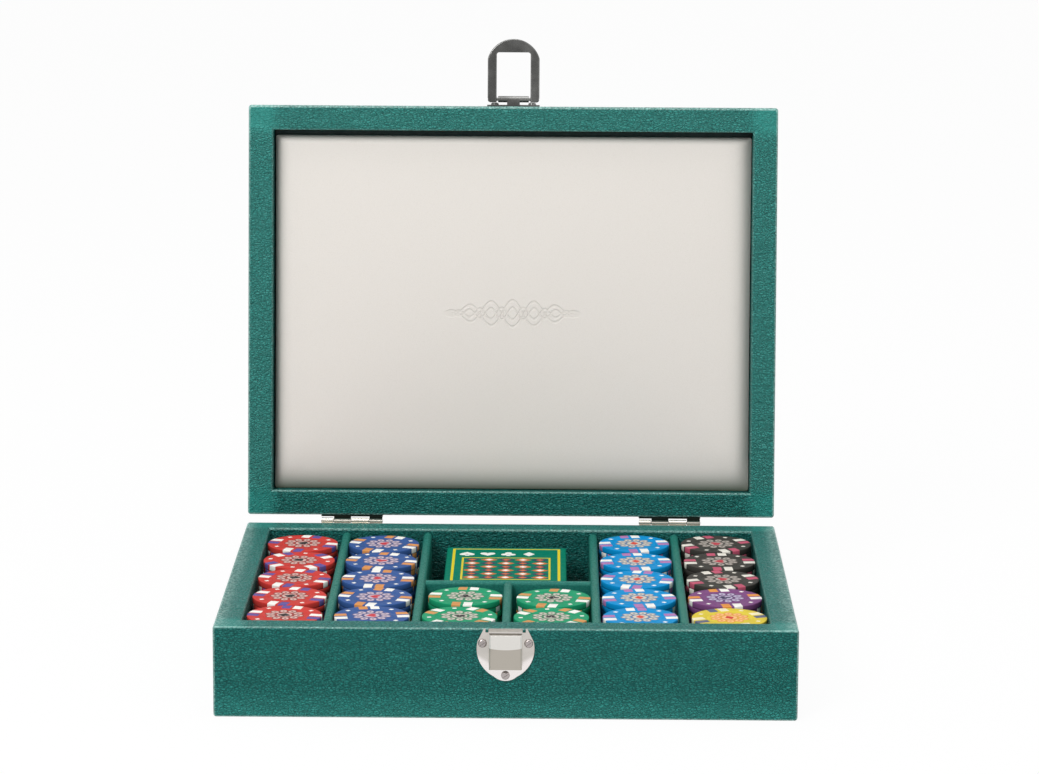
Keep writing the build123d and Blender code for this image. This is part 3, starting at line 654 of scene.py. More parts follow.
@dataclass(frozen=True)
class SmoothLeather:
    """Pale smooth leather with a faint, fine grain, with painted shade in its creases and pressed lines and
    along the cushion's edges.
    """

    name: str
    colour: Colour
    shadow: Colour
    # hem is the colour of the painted shade along the cushion's edges, read from the mesh's hem attribute.
    hem: Colour
    panel: CoverFrame
    cell: float = 0.6 * MM
    crease_share: float = 0.2
    grain_rise: float = 0.02
    relief: float = 1.0 * MM
    roughness: Point2 = (0.5, 0.6)
    gloss: float = 0.3
    emblem_half: float = 40.0 * MM
    emblem_waves: Tuple[Point2, ...] = ((7.5 * MM, 24.7 * MM), (3.4 * MM, 12.35 * MM))
    emblem_fade: float = 0.9
    emblem_share: float = 0.1
    emblem_depth: float = 0.26
    line_width: float = 1.0 * MM
    line_core: float = 0.3

    def emblem(self, bench: MaterialBench, place: bpy.types.NodeSocket) -> bpy.types.NodeSocket:
        """A pressed ornament in the panel's middle: crossing waves that die away to both sides.

        Args:
            bench: The material's bench.
            place: The object coordinates.

        Returns:
            The mask of its lines.
        """
        panel = bench.split(self.panel.local(bench, place))
        across, up = panel["X"], panel["Y"]
        share = bench.maths("ABSOLUTE", bench.maths("DIVIDE", across, self.emblem_half))
        share = bench.smaller(1.0, share)
        swing = bench.maths("SUBTRACT", 1.0, bench.product(share, share))
        lines: Feed = 0.0
        for rise, length in self.emblem_waves:
            wave = bench.maths("COSINE", bench.product(across, 2 * math.pi / length))
            for height in (rise, -rise):
                off = bench.maths("ABSOLUTE", bench.maths("ADD", up, bench.product(swing, wave, height)))
                line = bench.step(off, self.line_width, self.line_core * self.line_width)
                lines = bench.larger(lines, line)
        return bench.product(lines, bench.step(share, 1.0, self.emblem_fade))

    def build(self) -> bpy.types.Material:
        """Make the material.

        Returns:
            The material.
        """
        bench = MaterialBench(self.name)
        place = bench.object_place()
        grain = bench.pattern(PebbleGrain(), {"Vector": place, "Cell": self.cell})
        emblem = self.emblem(bench, place)
        body = bench.tint(bench.product(grain["Valley"], self.crease_share), self.colour, self.shadow)
        body = bench.tint(bench.product(emblem, self.emblem_share), body, self.shadow)
        # Painted shade along the cushion's edges.
        body = bench.tint(bench.attribute(LidCushion.HEM_SHADE, "Fac"), body, self.hem)
        bench.set(Base_Color=body, Specular_IOR_Level=self.gloss)
        bench.set(Roughness=bench.span(grain["Valley"], *self.roughness))
        pressed = bench.product(emblem, self.emblem_depth)
        raised = bench.product(grain["Height"], self.grain_rise)
        bench.bump(bench.maths("SUBTRACT", raised, pressed), self.relief)
        return bench.material


@dataclass(frozen=True)
class MetalZone:
    """Bands of height in which a metal part carries painted light: a painted reflection or a painted shadow.
    """

    colour: Colour
    bands: Tuple[Point2, ...]
    soft: float
    bend: float = 0.0
    rear: float = 9.0

    def mask(self, bench: MaterialBench, place: bpy.types.NodeSocket) -> bpy.types.NodeSocket:
        """Mark the bands, whose limits curve upwards to both sides by bend, up to the rear limit.

        Args:
            bench: The material's bench.
            place: The object coordinates.

        Returns:
            A mask that is 1 inside the bands.
        """
        spot = bench.split(place)
        lift = bench.product(spot["X"], spot["X"], self.bend)
        height = bench.maths("SUBTRACT", spot["Z"], lift)
        share: Feed = 0.0
        for low, high in self.bands:
            above = bench.step(height, low - self.soft, low + self.soft)
            below = bench.step(height, high + self.soft, high - self.soft)
            share = bench.larger(share, bench.product(above, below))
        return bench.product(share, bench.below(spot["Y"], self.rear))


@dataclass(frozen=True)
class PlatedMetal:
    """Nickel-plated metal, polished, with a slight haze and hairline marks, and painted light in a zone's
    bands where one is given.
    """

    name: str
    colour: Colour
    roughness: float = 0.16
    duller: float = 0.14
    haze: float = 0.14
    haze_size: float = 1.3 * MM
    line_stretch: Point = (1.0, 6.0, 30.0)
    line_scale: float = 220.0
    line_detail: float = 4.0
    line_share: float = 0.6
    speck_share: float = 0.4
    relief: float = 0.004 * MM
    zone: Optional[MetalZone] = None

    def build(self) -> bpy.types.Material:
        """Make the material.

        Returns:
            The material.
        """
        bench = MaterialBench(self.name)
        place = bench.object_place()
        haze = bench.speckle(self.haze_size)
        stretched = bench.add("ShaderNodeMapping", {"Vector": place, "Scale": self.line_stretch}).outputs[0]
        lines = bench.noise(stretched, self.line_scale, self.line_detail).outputs["Fac"]
        body = bench.tint(haze["Cloud"], self.colour, darkened(self.colour, 1 - self.haze))
        # Painted light in the zone's bands.
        if self.zone:
            body = bench.tint(self.zone.mask(bench, place), body, self.zone.colour)
        bench.set(Base_Color=body, Metallic=1.0)
        specks = bench.product(haze["Specks"], self.speck_share)
        marks = bench.maths("ADD", specks, bench.product(lines, self.line_share))
        bench.set(Roughness=bench.span(marks, self.roughness, self.roughness + self.duller))
        bench.bump(lines, self.relief)
        return bench.material


@dataclass(frozen=True)
class SpeckledStuff:
    """A plain matt material with specks: clay, card, cloth or board."""

    name: str
    colour: Colour
    fleck: Colour
    size: float = 0.4 * MM
    fleck_limits: Point2 = (0.48, 0.72)
    fleck_share: float = 0.6
    relief: float = 0.02 * MM
    roughness: float = 0.7
    uneven: float = 0.06

    def build(self) -> bpy.types.Material:
        """Make the material.

        Returns:
            The material.
        """
        bench = MaterialBench(self.name)
        specks = bench.speckle(self.size)
        share = bench.product(bench.step(specks["Specks"], *self.fleck_limits), self.fleck_share)
        bench.set(Base_Color=bench.tint(share, self.colour, self.fleck))
        low, high = self.roughness - self.uneven, self.roughness + self.uneven
        bench.set(Roughness=bench.span(specks["Cloud"], low, high))
        bench.bump(specks["Specks"], self.relief)
        return bench.material


@dataclass(frozen=True)
class ChipClay:
    """Moulded chip clay with paired rim spots, read in each chip's own coordinates, and a painted shadow
    along each chip's lower rim.
    """

    name: str
    colour: Colour
    first: Colour
    second: Colour
    dash: Colour
    # A painted shadow darkens each chip's lower rim, in the gap where stacked chips meet.
    gap_shadow: Colour = shade(30, 26, 26)
    speck_size: float = 0.5 * MM
    speck_share: float = 0.25
    speck_tone: float = 0.72
    dash_limit: float = 19.3 * MM
    gap_shadow_limits: Point2 = (-0.9 * MM, -1.5 * MM)
    gap_shadow_share: float = 0.75
    roughness: Point2 = (0.50, 0.62)
    gloss: float = 0.12
    relief: float = 0.03 * MM

    def build(self) -> bpy.types.Material:
        """Make the material.

        Returns:
            The material.
        """
        bench = MaterialBench(self.name)
        own = bench.attribute(ChipStacks.PLACE, "Vector")
        spots = bench.pattern(EdgeSpots(), {"Vector": own})
        specks = bench.speckle(self.speck_size)
        flat_dash = bench.product(spots["Dash"], bench.below(bench.vector("LENGTH", own), self.dash_limit))
        darker = darkened(self.colour, self.speck_tone)
        body = bench.tint(bench.product(specks["Specks"], self.speck_share), self.colour, darker)
        body = bench.tint(flat_dash, body, self.dash)
        body = bench.tint(spots["Second"], body, self.second)
        body = bench.tint(spots["First"], body, self.first)
        # Painted shadow along the lower rim, in the gap between chips.
        gap_shadow = bench.product(bench.step(bench.split(own)["Z"], *self.gap_shadow_limits), self.gap_shadow_share)
        bench.set(Base_Color=bench.tint(gap_shadow, body, self.gap_shadow))
        bench.set(Roughness=bench.span(specks["Cloud"], *self.roughness), Specular_IOR_Level=self.gloss)
        bench.bump(specks["Specks"], self.relief)
        return bench.material


@dataclass(frozen=True)
class InlayPrint:
    """The printed middle of a chip: pale shapes, their outlines and a pip."""

    LINE_INK = 0.5
    PIP_INK = 1.0
    name: str
    pale: Colour
    line: Colour
    pip: Colour
    speck_size: float = 0.3 * MM
    worn_limits: Point2 = (0.5, 0.8)
    worn_share: float = 0.25
    roughness: Point2 = (0.45, 0.55)
    gloss: float = 0.15

    def build(self) -> bpy.types.Material:
        """Make the material.

        Returns:
            The material.
        """
        bench = MaterialBench(self.name)
        ink = bench.attribute(ChipInlay.INK, "Fac")
        specks = bench.speckle(self.speck_size)
        drawn = bench.tint(bench.above(ink, self.LINE_INK / 2), self.pale, self.line)
        drawn = bench.tint(bench.above(ink, (self.LINE_INK + self.PIP_INK) / 2), drawn, self.pip)
        wear_and_painted_light = bench.product(bench.step(specks["Specks"], *self.worn_limits), self.worn_share)
        bench.set(Base_Color=bench.tint(wear_and_painted_light, drawn, self.pale))
        bench.set(Roughness=bench.span(specks["Cloud"], *self.roughness), Specular_IOR_Level=self.gloss)
        return bench.material


@dataclass(frozen=True)
class CardBoxPrint:
    """Varnished card with a thin frame line printed round its broad faces."""

    name: str
    ground: Colour
    line: Colour
    centre: Point
    half_frame: Point2
    line_width: float = 1.5 * MM
    speck_size: float = 0.25 * MM
    speck_share: float = 0.2
    speck_tone: float = 0.7
    roughness: Point2 = (0.50, 0.60)
    gloss: float = 0.04
    relief: float = 0.01 * MM

    def build(self) -> bpy.types.Material:
        """Make the material.

        Returns:
            The material.
        """
        bench = MaterialBench(self.name)
        spot = bench.split(bench.vector("SUBTRACT", bench.object_place(), self.centre))
        across = bench.maths("SUBTRACT", bench.maths("ABSOLUTE", spot["X"]), self.half_frame[0])
        along = bench.maths("SUBTRACT", bench.maths("ABSOLUTE", spot["Y"]), self.half_frame[1])
        framed = bench.between(bench.larger(across, along), -self.line_width, 0.0)
        specks = bench.speckle(self.speck_size)
        darker = darkened(self.ground, self.speck_tone)
        ground = bench.tint(bench.product(specks["Specks"], self.speck_share), self.ground, darker)
        bench.set(Base_Color=bench.tint(framed, ground, self.line), Specular_IOR_Level=self.gloss)
        bench.set(Roughness=bench.span(specks["Cloud"], *self.roughness))
        bench.bump(specks["Specks"], self.relief)
        return bench.material


def linked(name: str, data: Any) -> bpy.types.Object:
    """Put an object in the scene, unturned at the origin.

    Args:
        name: The object's name.
        data: Its mesh, lamp or camera.

    Returns:
        The object.
    """
    item = bpy.data.objects.new(name, data)
    bpy.context.scene.collection.objects.link(item)
    return item


def mesh_object(name: str, mesh: bpy.types.Mesh, body: str) -> bpy.types.Object:
    """Put a mesh in the scene as a piece.

    Args:
        name: The piece's name.
        mesh: Its mesh, in place.
        body: The body that it rides on.

    Returns:
        The piece.
    """
    mesh.name = name
    piece = linked(name, mesh)
    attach(piece, body)
    return piece


def plain_mesh(shape: bmesh.types.BMesh, name: str) -> bpy.types.Mesh:
    """Turn a bmesh into a mesh as it is.

    Args:
        shape: The bmesh, which is freed.
        name: The mesh's name.

    Returns:
        The mesh.
    """
    mesh = bpy.data.meshes.new(name)
    shape.to_mesh(mesh)
    shape.free()
    return mesh


def finished_mesh(shape: bmesh.types.BMesh, name: str) -> bpy.types.Mesh:
    """Turn a bmesh into a mesh with its doubles merged and its faces pointing outwards.

    Args:
        shape: The bmesh, which is freed.
        name: The mesh's name.

    Returns:
        The mesh.
    """
    bmesh.ops.remove_doubles(shape, verts=shape.verts, dist=MERGE_DISTANCE)
    bmesh.ops.recalc_face_normals(shape, faces=shape.faces)
    return plain_mesh(shape, name)


def around(steps: int) -> List[float]:
    """Even turns once round a circle, in radians."""
    return [2 * math.pi * index / steps for index in range(steps)]


def ring_faces(shape: bmesh.types.BMesh, lower: Sequence, upper: Sequence, smooth: bool = True) -> None:
    """Join two closed rows of vertices by quads.

    Args:
        shape: The bmesh that holds them.
        lower: The first row's vertices.
        upper: The second row's vertices, as many.
        smooth: Whether the quads are shaded smoothly.
    """
    count = len(lower)
    for index in range(count):
        after = (index + 1) % count
        face = shape.faces.new((lower[index], lower[after], upper[after], upper[index]))
        face.smooth = smooth


def geometry_tree(
    name: str, inputs: Sequence[Tuple[str, str]]
) -> Tuple[NodeBench, bpy.types.Node, Dict[str, str]]:
    """An empty Geometry Nodes tree.

    Args:
        name: The tree's name.
        inputs: The name and socket type of each input after the geometry.

    Returns:
        The tree's bench, its input node and each input's identifier by name.
    """
    tree = bpy.data.node_groups.new(name, "GeometryNodeTree")
    tree.interface.new_socket(name="Geometry", in_out="INPUT", socket_type="NodeSocketGeometry")
    identifiers = {}
    for label, kind in inputs:
        socket = tree.interface.new_socket(name=label, in_out="INPUT", socket_type=kind)
        identifiers[label] = socket.identifier
    tree.interface.new_socket(name="Geometry", in_out="OUTPUT", socket_type="NodeSocketGeometry")
    bench = NodeBench(tree)
    return bench, bench.add("NodeGroupInput"), identifiers


def end_tree(bench: NodeBench, geometry: Feed, material: Feed) -> None:
    """Realize a tree's instances, give them their material and put them out.

    Args:
        bench: The tree's bench.
        geometry: The geometry to put out.
        material: Its material.
    """
    real = bench.add("GeometryNodeRealizeInstances", {0: geometry}).outputs[0]
    dressed = bench.add("GeometryNodeSetMaterial", {"Geometry": real, "Material": material}).outputs[0]
    bench.add("NodeGroupOutput", {0: dressed})


def grown_mesh(
    source: bpy.types.Mesh,
    tree: bpy.types.NodeTree,
    identifiers: Mapping[str, str],
    values: Mapping[str, Any],
) -> bpy.types.Mesh:
    """The plain mesh that a Geometry Nodes tree makes from a source mesh.

    Args:
        source: The mesh that the tree starts from.
        tree: The tree.
        identifiers: The tree's socket identifiers by input name.
        values: A value for each input by name.

    Returns:
        A new mesh with everything realized.
    """
    carrier = linked("carrier", source)
    modifier = carrier.modifiers.new("grow", "NODES")
    modifier.node_group = tree
    for label, value in values.items():
        modifier[identifiers[label]] = value
    graph = bpy.context.evaluated_depsgraph_get()
    mesh = bpy.data.meshes.new_from_object(
        carrier.evaluated_get(graph), preserve_all_data_layers=True, depsgraph=graph
    )
    carrier.modifiers.remove(modifier)
    bpy.data.objects.remove(carrier)
    return mesh


class Suit(Enum):
    """The four suits, for the pips on chips and cards."""

    SPADE = "spade"
    HEART = "heart"
    DIAMOND = "diamond"
    CLUB = "club"


@dataclass(frozen=True)
class PipShape:
    """The outline of one suit's pip, one unit high."""

    suit: Suit
    steps: int = 28
    lobe_radius: float = 0.23

    def heart(self, flip: float) -> Outline:
        """A heart's outline, by the usual curve, which is 32 units wide.

        Args:
            flip: 1 for an upright heart and -1 for one upside down.

        Returns:
            The closed outline.
        """
        points = []
        for turn in around(self.steps):
            x = 16 * math.sin(turn) ** 3
            y = 13 * math.cos(turn) - 5 * math.cos(2 * turn) - 2 * math.cos(3 * turn) - math.cos(4 * turn)
            points.append((x / 32, flip * y / 32))
        return points

    def stem(self) -> Outline:
        """The foot under a spade or a club."""
        return [(-0.03, -0.02), (-0.16, -0.52), (0.16, -0.52), (0.03, -0.02)]

    def disc(self, x: float, y: float, radius: float) -> Outline:
        """One lobe of a club."""
        return [(x + radius * math.cos(turn), y + radius * math.sin(turn)) for turn in around(self.steps)]

    def outlines(self) -> List[Outline]:
        """The shapes that make up the pip.

        Returns:
            Their closed outlines.
        """
        if self.suit is Suit.HEART:
            return [self.heart(1.0)]
        if self.suit is Suit.DIAMOND:
            return [[(0, -0.55), (0.38, 0), (0, 0.55), (-0.38, 0)]]
        if self.suit is Suit.SPADE:
            return [self.heart(-1.0), self.stem()]
        lobes = [(0, 0.26), (-0.25, -0.12), (0.25, -0.12)]
        return [self.disc(x, y, self.lobe_radius) for x, y in lobes] + [self.stem()]


@dataclass
class PrintPlate:
    """Gathers thin flat shapes, each with an ink number, into one mesh."""

    layer: str
    shape: bmesh.types.BMesh = field(default_factory=bmesh.new)

    def __post_init__(self) -> None:
        """Give the mesh its ink layer."""
        self.ink = self.shape.faces.layers.float.new(self.layer)

    def add(
        self, outline: Outline, centre: Point, size: float, thickness: float, ink: float
    ) -> None:
        """Add one closed shape.

        Args:
            outline: The shape's outline in units of size.
            centre: The middle of its underside.
            size: Its scale.
            thickness: Its thickness.
            ink: The number of its ink.
        """
        flat = [(centre[0] + size * x, centre[1] + size * y) for x, y in outline]
        area = sum(a[0] * b[1] - b[0] * a[1] for a, b in zip(flat, flat[1:] + flat[:1]))
        if area < 0:
            flat.reverse()
        lower = [self.shape.verts.new((x, y, centre[2])) for x, y in flat]
        upper = [self.shape.verts.new((x, y, centre[2] + thickness)) for x, y in flat]
        faces = [self.shape.faces.new(upper), self.shape.faces.new(lower[::-1])]
        for index in range(len(flat)):
            after = (index + 1) % len(flat)
            faces.append(self.shape.faces.new((lower[index], lower[after], upper[after], upper[index])))
        for face in faces:
            face[self.ink] = ink

    def mesh(self, name: str) -> bpy.types.Mesh:
        """The finished mesh."""
        return plain_mesh(self.shape, name)


@dataclass(frozen=True)
class ChipColours:
    """The colours of one kind of chip and of its inlay."""

    clay: Colour
    first: Colour
    second: Colour
    pale: Colour
    line: Colour
    pip: Colour
    suit: Suit


WHITE = shade(240, 238, 232)
CHIP_COLOURS: Dict[str, ChipColours] = {
    "red": ChipColours(
        clay=shade(200, 60, 54), first=WHITE, second=shade(98, 84, 150),
        pale=shade(214, 178, 170), line=shade(110, 50, 48), pip=shade(38, 34, 38), suit=Suit.SPADE),
    "blue": ChipColours(
        clay=shade(54, 88, 148), first=WHITE, second=shade(212, 144, 84),
        pale=shade(200, 184, 196), line=shade(96, 84, 120), pip=shade(196, 44, 60), suit=Suit.HEART),
    "green": ChipColours(
        clay=shade(26, 150, 106), first=WHITE, second=shade(206, 146, 88),
        pale=shade(200, 196, 184), line=shade(90, 110, 90), pip=shade(34, 36, 38), suit=Suit.CLUB),
    "sky": ChipColours(
        clay=shade(0, 142, 206), first=WHITE, second=shade(176, 120, 172),
        pale=shade(206, 200, 188), line=shade(128, 122, 132), pip=shade(214, 66, 50), suit=Suit.DIAMOND),
    "black": ChipColours(
        clay=shade(62, 60, 56), first=shade(226, 222, 212), second=shade(190, 88, 112),
        pale=shade(176, 168, 160), line=shade(92, 84, 80), pip=shade(190, 52, 70), suit=Suit.HEART),
    "purple": ChipColours(
        clay=shade(122, 72, 124), first=WHITE, second=shade(222, 146, 70),
        pale=shade(190, 180, 204), line=shade(86, 62, 108), pip=shade(58, 44, 86), suit=Suit.CLUB),
    "yellow": ChipColours(
        clay=shade(220, 198, 64), first=shade(236, 226, 190), second=shade(96, 100, 128),
        pale=shade(240, 190, 130), line=shade(226, 130, 60), pip=shade(204, 48, 40), suit=Suit.DIAMOND),
}


@dataclass
class ChipInlay:
    """The printed middle of the top chip: a ring of petals round a pip."""

    INK = "ink"
    copies: int = 10
    ring_radius: float = 7.5 * MM
    petal_length: float = 5.9 * MM
    petal_width: float = 4.5 * MM
    petal_layers: Tuple[Point, ...] = (
        (1.0, 1.0, InlayPrint.LINE_INK), (0.80, 1.5, 0.0), (0.28, 2.0, InlayPrint.LINE_INK))
    disc_radius: float = 4.5 * MM
    disc_layers: Tuple[Point, ...] = ((1.0, 1.2, InlayPrint.LINE_INK), (0.9, 1.7, 0.0))
    pip_height: float = 6.4 * MM
    pip_layers: float = 2.2
    oval_steps: int = 14
    thickness: float = 0.03 * MM

    def __post_init__(self) -> None:
        """Build the tree that sets the petals round the ring."""
        inputs = (("Pip", "NodeSocketObject"), ("Copies", "NodeSocketInt"), ("Radius", "NodeSocketFloat"),
                  ("Material", "NodeSocketMaterial"))
        bench, entry, self.identifiers = geometry_tree("inlay_ring", inputs)
        ring = bench.add("GeometryNodeMeshCircle", {
            "Vertices": entry.outputs["Copies"], "Radius": entry.outputs["Radius"]})
        index = bench.add("GeometryNodeInputIndex").outputs[0]
        share = bench.maths("DIVIDE", index, entry.outputs["Copies"])
        turn = bench.combined(Z=bench.maths("MULTIPLY", share, 2 * math.pi))
        petals = bench.add("GeometryNodeInstanceOnPoints", {
            "Points": ring.outputs[0], "Instance": entry.outputs["Geometry"], "Rotation": turn})
        pip = bench.add("GeometryNodeObjectInfo", {"Object": entry.outputs["Pip"]}).outputs["Geometry"]
        joined = bench.add("GeometryNodeJoinGeometry", {0: petals.outputs[0]})
        bench.feed(joined.inputs[0], pip)
        end_tree(bench, joined.outputs[0], entry.outputs["Material"])
        self.tree = bench.tree

    def ovals(self, plate: PrintPlate, length: float, width: float, layers: Sequence[Point]) -> None:
        """Lay ovals on one another, each a share of the whole size.

        Args:
            plate: The plate that gathers them.
            length: The whole length along X.
            width: The whole width.
            layers: The share, the height in layers of print and the ink of each oval.
        """
        for share, layer, ink in layers:
            x, y = length * share / 2, width * share / 2
            outline = [(x * math.cos(turn), y * math.sin(turn)) for turn in around(self.oval_steps)]
            plate.add(outline, (0, 0, 0), 1.0, self.thickness * layer, ink)

    def petal(self) -> bpy.types.Mesh:
        """Make one petal with a dark outline, a pale middle and a dark heart, pointing along X.

        Returns:
            The petal's mesh.
        """
        plate = PrintPlate(self.INK)
        self.ovals(plate, self.petal_length, self.petal_width, self.petal_layers)
        return plate.mesh("petal")

    def pip(self, suit: Suit) -> bpy.types.Mesh:
        """Make the pip in the middle, on a pale disc with a dark border.

        Args:
            suit: The pip's suit.

        Returns:
            The pip's mesh.
        """
        plate = PrintPlate(self.INK)
        self.ovals(plate, 2 * self.disc_radius, 2 * self.disc_radius, self.disc_layers)
        for outline in PipShape(suit).outlines():
            height = self.thickness * self.pip_layers
            plate.add(outline, (0, 0, 0), self.pip_height, height, InlayPrint.PIP_INK)
        return plate.mesh("pip")

    def mesh(self, suit: Suit, material: bpy.types.Material) -> bpy.types.Mesh:
        """Make the whole inlay round the origin.

        Args:
            suit: The suit of its pip.
            material: The print's material.

        Returns:
            The inlay's mesh.
        """
        carrier = bpy.data.objects.new("pip_source", self.pip(suit))
        values = {"Pip": carrier, "Copies": self.copies, "Radius": self.ring_radius, "Material": material}
        mesh = grown_mesh(self.petal(), self.tree, self.identifiers, values)
        bpy.data.objects.remove(carrier)
        return mesh


@dataclass
class ChipStacks:
    """The stacks of chips, each grown from one chip over its CAD node.

    The turn of each top chip, in degrees, was judged from where its spots stand in the photograph.
    """

    PLACE = "chip_place"
    chips: int = 12
    edge_round: float = 0.35 * MM
    segments: int = 48
    top_segments: int = 96
    sideways: float = 0.22 * MM
    groove_radius: float = 11.6 * MM
    groove_depth: float = 0.12 * MM
    groove_width: float = 0.35 * MM
    fine_steps: int = 3
    steps: int = 2
    spin_seed: int = 57
    turns: Mapping[str, float] = field(default_factory=lambda: {
        "red_stack_1": -11, "red_stack_2": 73, "red_stack_3": 162, "red_stack_4": -144, "red_stack_5": 75,
        "blue_stack_1": 278, "blue_stack_2": 255, "blue_stack_3": 85,
        "blue_stack_4": -14, "blue_stack_5": 250,
        "green_left_stack_1": 56, "green_left_stack_2": -5,
        "green_right_stack_1": -127, "green_right_stack_2": 258,
        "sky_stack_1": 187, "sky_stack_2": 9, "sky_stack_3": 168, "sky_stack_4": 7, "sky_stack_5": 8,
        "yellow_stack": 20, "purple_stack": 280,
        "black_stack_1": 110, "black_stack_2": 274, "black_stack_3": 114,
    })

    def __post_init__(self) -> None:
        """Build the tree that piles the chips up."""
        inputs = (("Top", "NodeSocketObject"), ("Count", "NodeSocketInt"), ("Thickness", "NodeSocketFloat"),
                  ("Sideways", "NodeSocketFloat"), ("Top Turn", "NodeSocketFloat"), ("Seed", "NodeSocketInt"),
                  ("Material", "NodeSocketMaterial"))
        bench, entry, self.identifiers = geometry_tree("chip_pile", inputs)
        thick = entry.outputs["Thickness"]
        below = bench.maths("SUBTRACT", entry.outputs["Count"], 1.0)
        line = bench.add("GeometryNodeMeshLine", {
            "Count": below, "Start Location": bench.combined(Z=bench.product(thick, 0.5)),
            "Offset": bench.combined(Z=thick)})
        reach = entry.outputs["Sideways"]
        least = bench.maths("MULTIPLY", reach, -1.0)
        shift = bench.add("FunctionNodeRandomValue", {
            0: bench.combined(X=least, Y=least), 1: bench.combined(X=reach, Y=reach),
            "Seed": entry.outputs["Seed"]}, data_type="FLOAT_VECTOR").outputs[0]
        moved = bench.add("GeometryNodeSetPosition", {"Geometry": line.outputs[0], "Offset": shift})
        seed = bench.maths("ADD", entry.outputs["Seed"], self.spin_seed)
        spin = bench.add("FunctionNodeRandomValue", {2: 0.0, 3: 2 * math.pi, "Seed": seed}, data_type="FLOAT")
        pile = bench.add("GeometryNodeInstanceOnPoints", {
            "Points": moved.outputs[0], "Instance": entry.outputs["Geometry"],
            "Rotation": bench.combined(Z=spin.outputs[1])})
        top = bench.add("GeometryNodeObjectInfo", {"Object": entry.outputs["Top"]}).outputs["Geometry"]
        height = bench.product(thick, bench.maths("SUBTRACT", entry.outputs["Count"], 0.5))
        placed = bench.add("GeometryNodeTransform", {
            "Geometry": top, "Translation": bench.combined(Z=height),
            "Rotation": bench.combined(Z=entry.outputs["Top Turn"])})
        joined = bench.add("GeometryNodeJoinGeometry", {0: pile.outputs[0]})
        bench.feed(joined.inputs[0], placed.outputs[0])
        end_tree(bench, joined.outputs[0], entry.outputs["Material"])
        self.tree = bench.tree

    def profile(self, radius: float, half: float, fine: bool) -> Outline:
        """A chip's section from the top's middle to the bottom's.

        Args:
            radius: The chip's radius.
            half: Half its thickness.
            fine: Whether it has the groove round its inlay and a finer edge.

        Returns:
            The section's points as radius and height.
        """
        steps = self.fine_steps if fine else self.steps
        corner = self.edge_round
        points: Outline = []
        if fine:
            for offset, drop in ((-1.0, 0.0), (-0.5, 1.0), (0.5, 1.0), (1.0, 0.0)):
                reach = self.groove_radius + offset * self.groove_width
                points.append((reach, half - drop * self.groove_depth))
        for side, start in ((1, math.pi / 2), (-1, 0.0)):
            for index in range(steps + 1):
                angle = start - math.pi / 2 * index / steps
                height = side * (half - corner) + corner * math.sin(angle)
                points.append((radius - corner + corner * math.cos(angle), height))
        return points

    def chip(self, radius: float, thickness: float, fine: bool) -> bpy.types.Mesh:
        """One chip round the origin, which also remembers each point's own place.

        Args:
            radius: The chip's radius.
            thickness: Its thickness.
            fine: Whether it is a top chip, with a groove and a finer edge.

        Returns:
            The chip's mesh.
        """
        turns = around(self.top_segments if fine else self.segments)
        shape = bmesh.new()
        rings = []
        for r, z in self.profile(radius, thickness / 2, fine):
            rings.append([shape.verts.new((r * math.cos(turn), r * math.sin(turn), z)) for turn in turns])
        for upper, lower in zip(rings, rings[1:]):
            ring_faces(shape, lower, upper)
        shape.faces.new(rings[0])
        shape.faces.new(rings[-1][::-1])
        mesh = finished_mesh(shape, "chip")
        places = mesh.attributes.new(self.PLACE, "FLOAT_VECTOR", "POINT")
        for index, vertex in enumerate(mesh.vertices):
            places.data[index].vector = vertex.co
        return mesh

    def build(self) -> None:
        """Grow every stack and its inlay."""
        inlay = ChipInlay()
        clays = {kind: ChipClay("clay_" + kind, c.clay, c.first, c.second, c.first).build()
                 for kind, c in CHIP_COLOURS.items()}
        prints = {kind: InlayPrint("inlay_" + kind, c.pale, c.line, c.pip).build()
                  for kind, c in CHIP_COLOURS.items()}
        nodes = sorted(name for name in frame["nodes"] if "_stack" in name)
        for seed, node in enumerate(nodes):
            kind = node.split("_")[0]
            low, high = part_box(node)
            thickness = (high.z - low.z) / self.chips
            radius = (high.x - low.x) / 2
            foot = Vector(((low.x + high.x) / 2, (low.y + high.y) / 2, low.z))
            top = bpy.data.objects.new("top_source", self.chip(radius, thickness, True))
            turn = math.radians(self.turns[node])
            mesh = grown_mesh(self.chip(radius, thickness, False), self.tree, self.identifiers, {
                "Top": top, "Count": self.chips, "Thickness": thickness, "Sideways": self.sideways,
                "Top Turn": turn, "Seed": seed, "Material": clays[kind]})
            bpy.data.objects.remove(top)
            mesh.transform(Matrix.Translation(foot))
            piece = mesh_object(node + "_chips", mesh, node)
            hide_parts(node)
            print_mesh = inlay.mesh(CHIP_COLOURS[kind].suit, prints[kind])
            print_mesh.transform(Matrix.Translation((foot.x, foot.y, high.z)) @ Matrix.Rotation(turn, 4, "Z"))
            mesh_object(node + "_inlay", print_mesh, node)
            LOG.info("%s: %d faces", node, len(mesh.polygons))


@dataclass
class LidPlace:
    """Where the open lid lies: turns points of the shut lid to the open one and back."""

    joint: str = "lid_hinge"

    def __post_init__(self) -> None:
        """Read the hinge's place and how far the lid stands open."""
        found = [joint for joint in frame["joints"] if joint["name"] == self.joint][0]
        self.axis = Vector(found["pos_m"])
        pivot = Matrix.Translation(self.axis)
        self.angle = math.radians(found["range_deg"][0])
        self.opened = pivot @ Matrix.Rotation(self.angle, 4, "X") @ pivot.inverted()

    def shut_box(self, node: str) -> Tuple[Vector, Vector]:
        """Find a lid node's box in the shut lid.

        Args:
            node: The node's name.

        Returns:
            The box's lowest and highest corner.
        """
        back = self.opened.inverted()
        points = [back @ vertex.co for vertex in frame["nodes"][node].data.vertices]
        low = Vector([min(point[axis] for point in points) for axis in range(3)])
        high = Vector([max(point[axis] for point in points) for axis in range(3)])
        return low, high


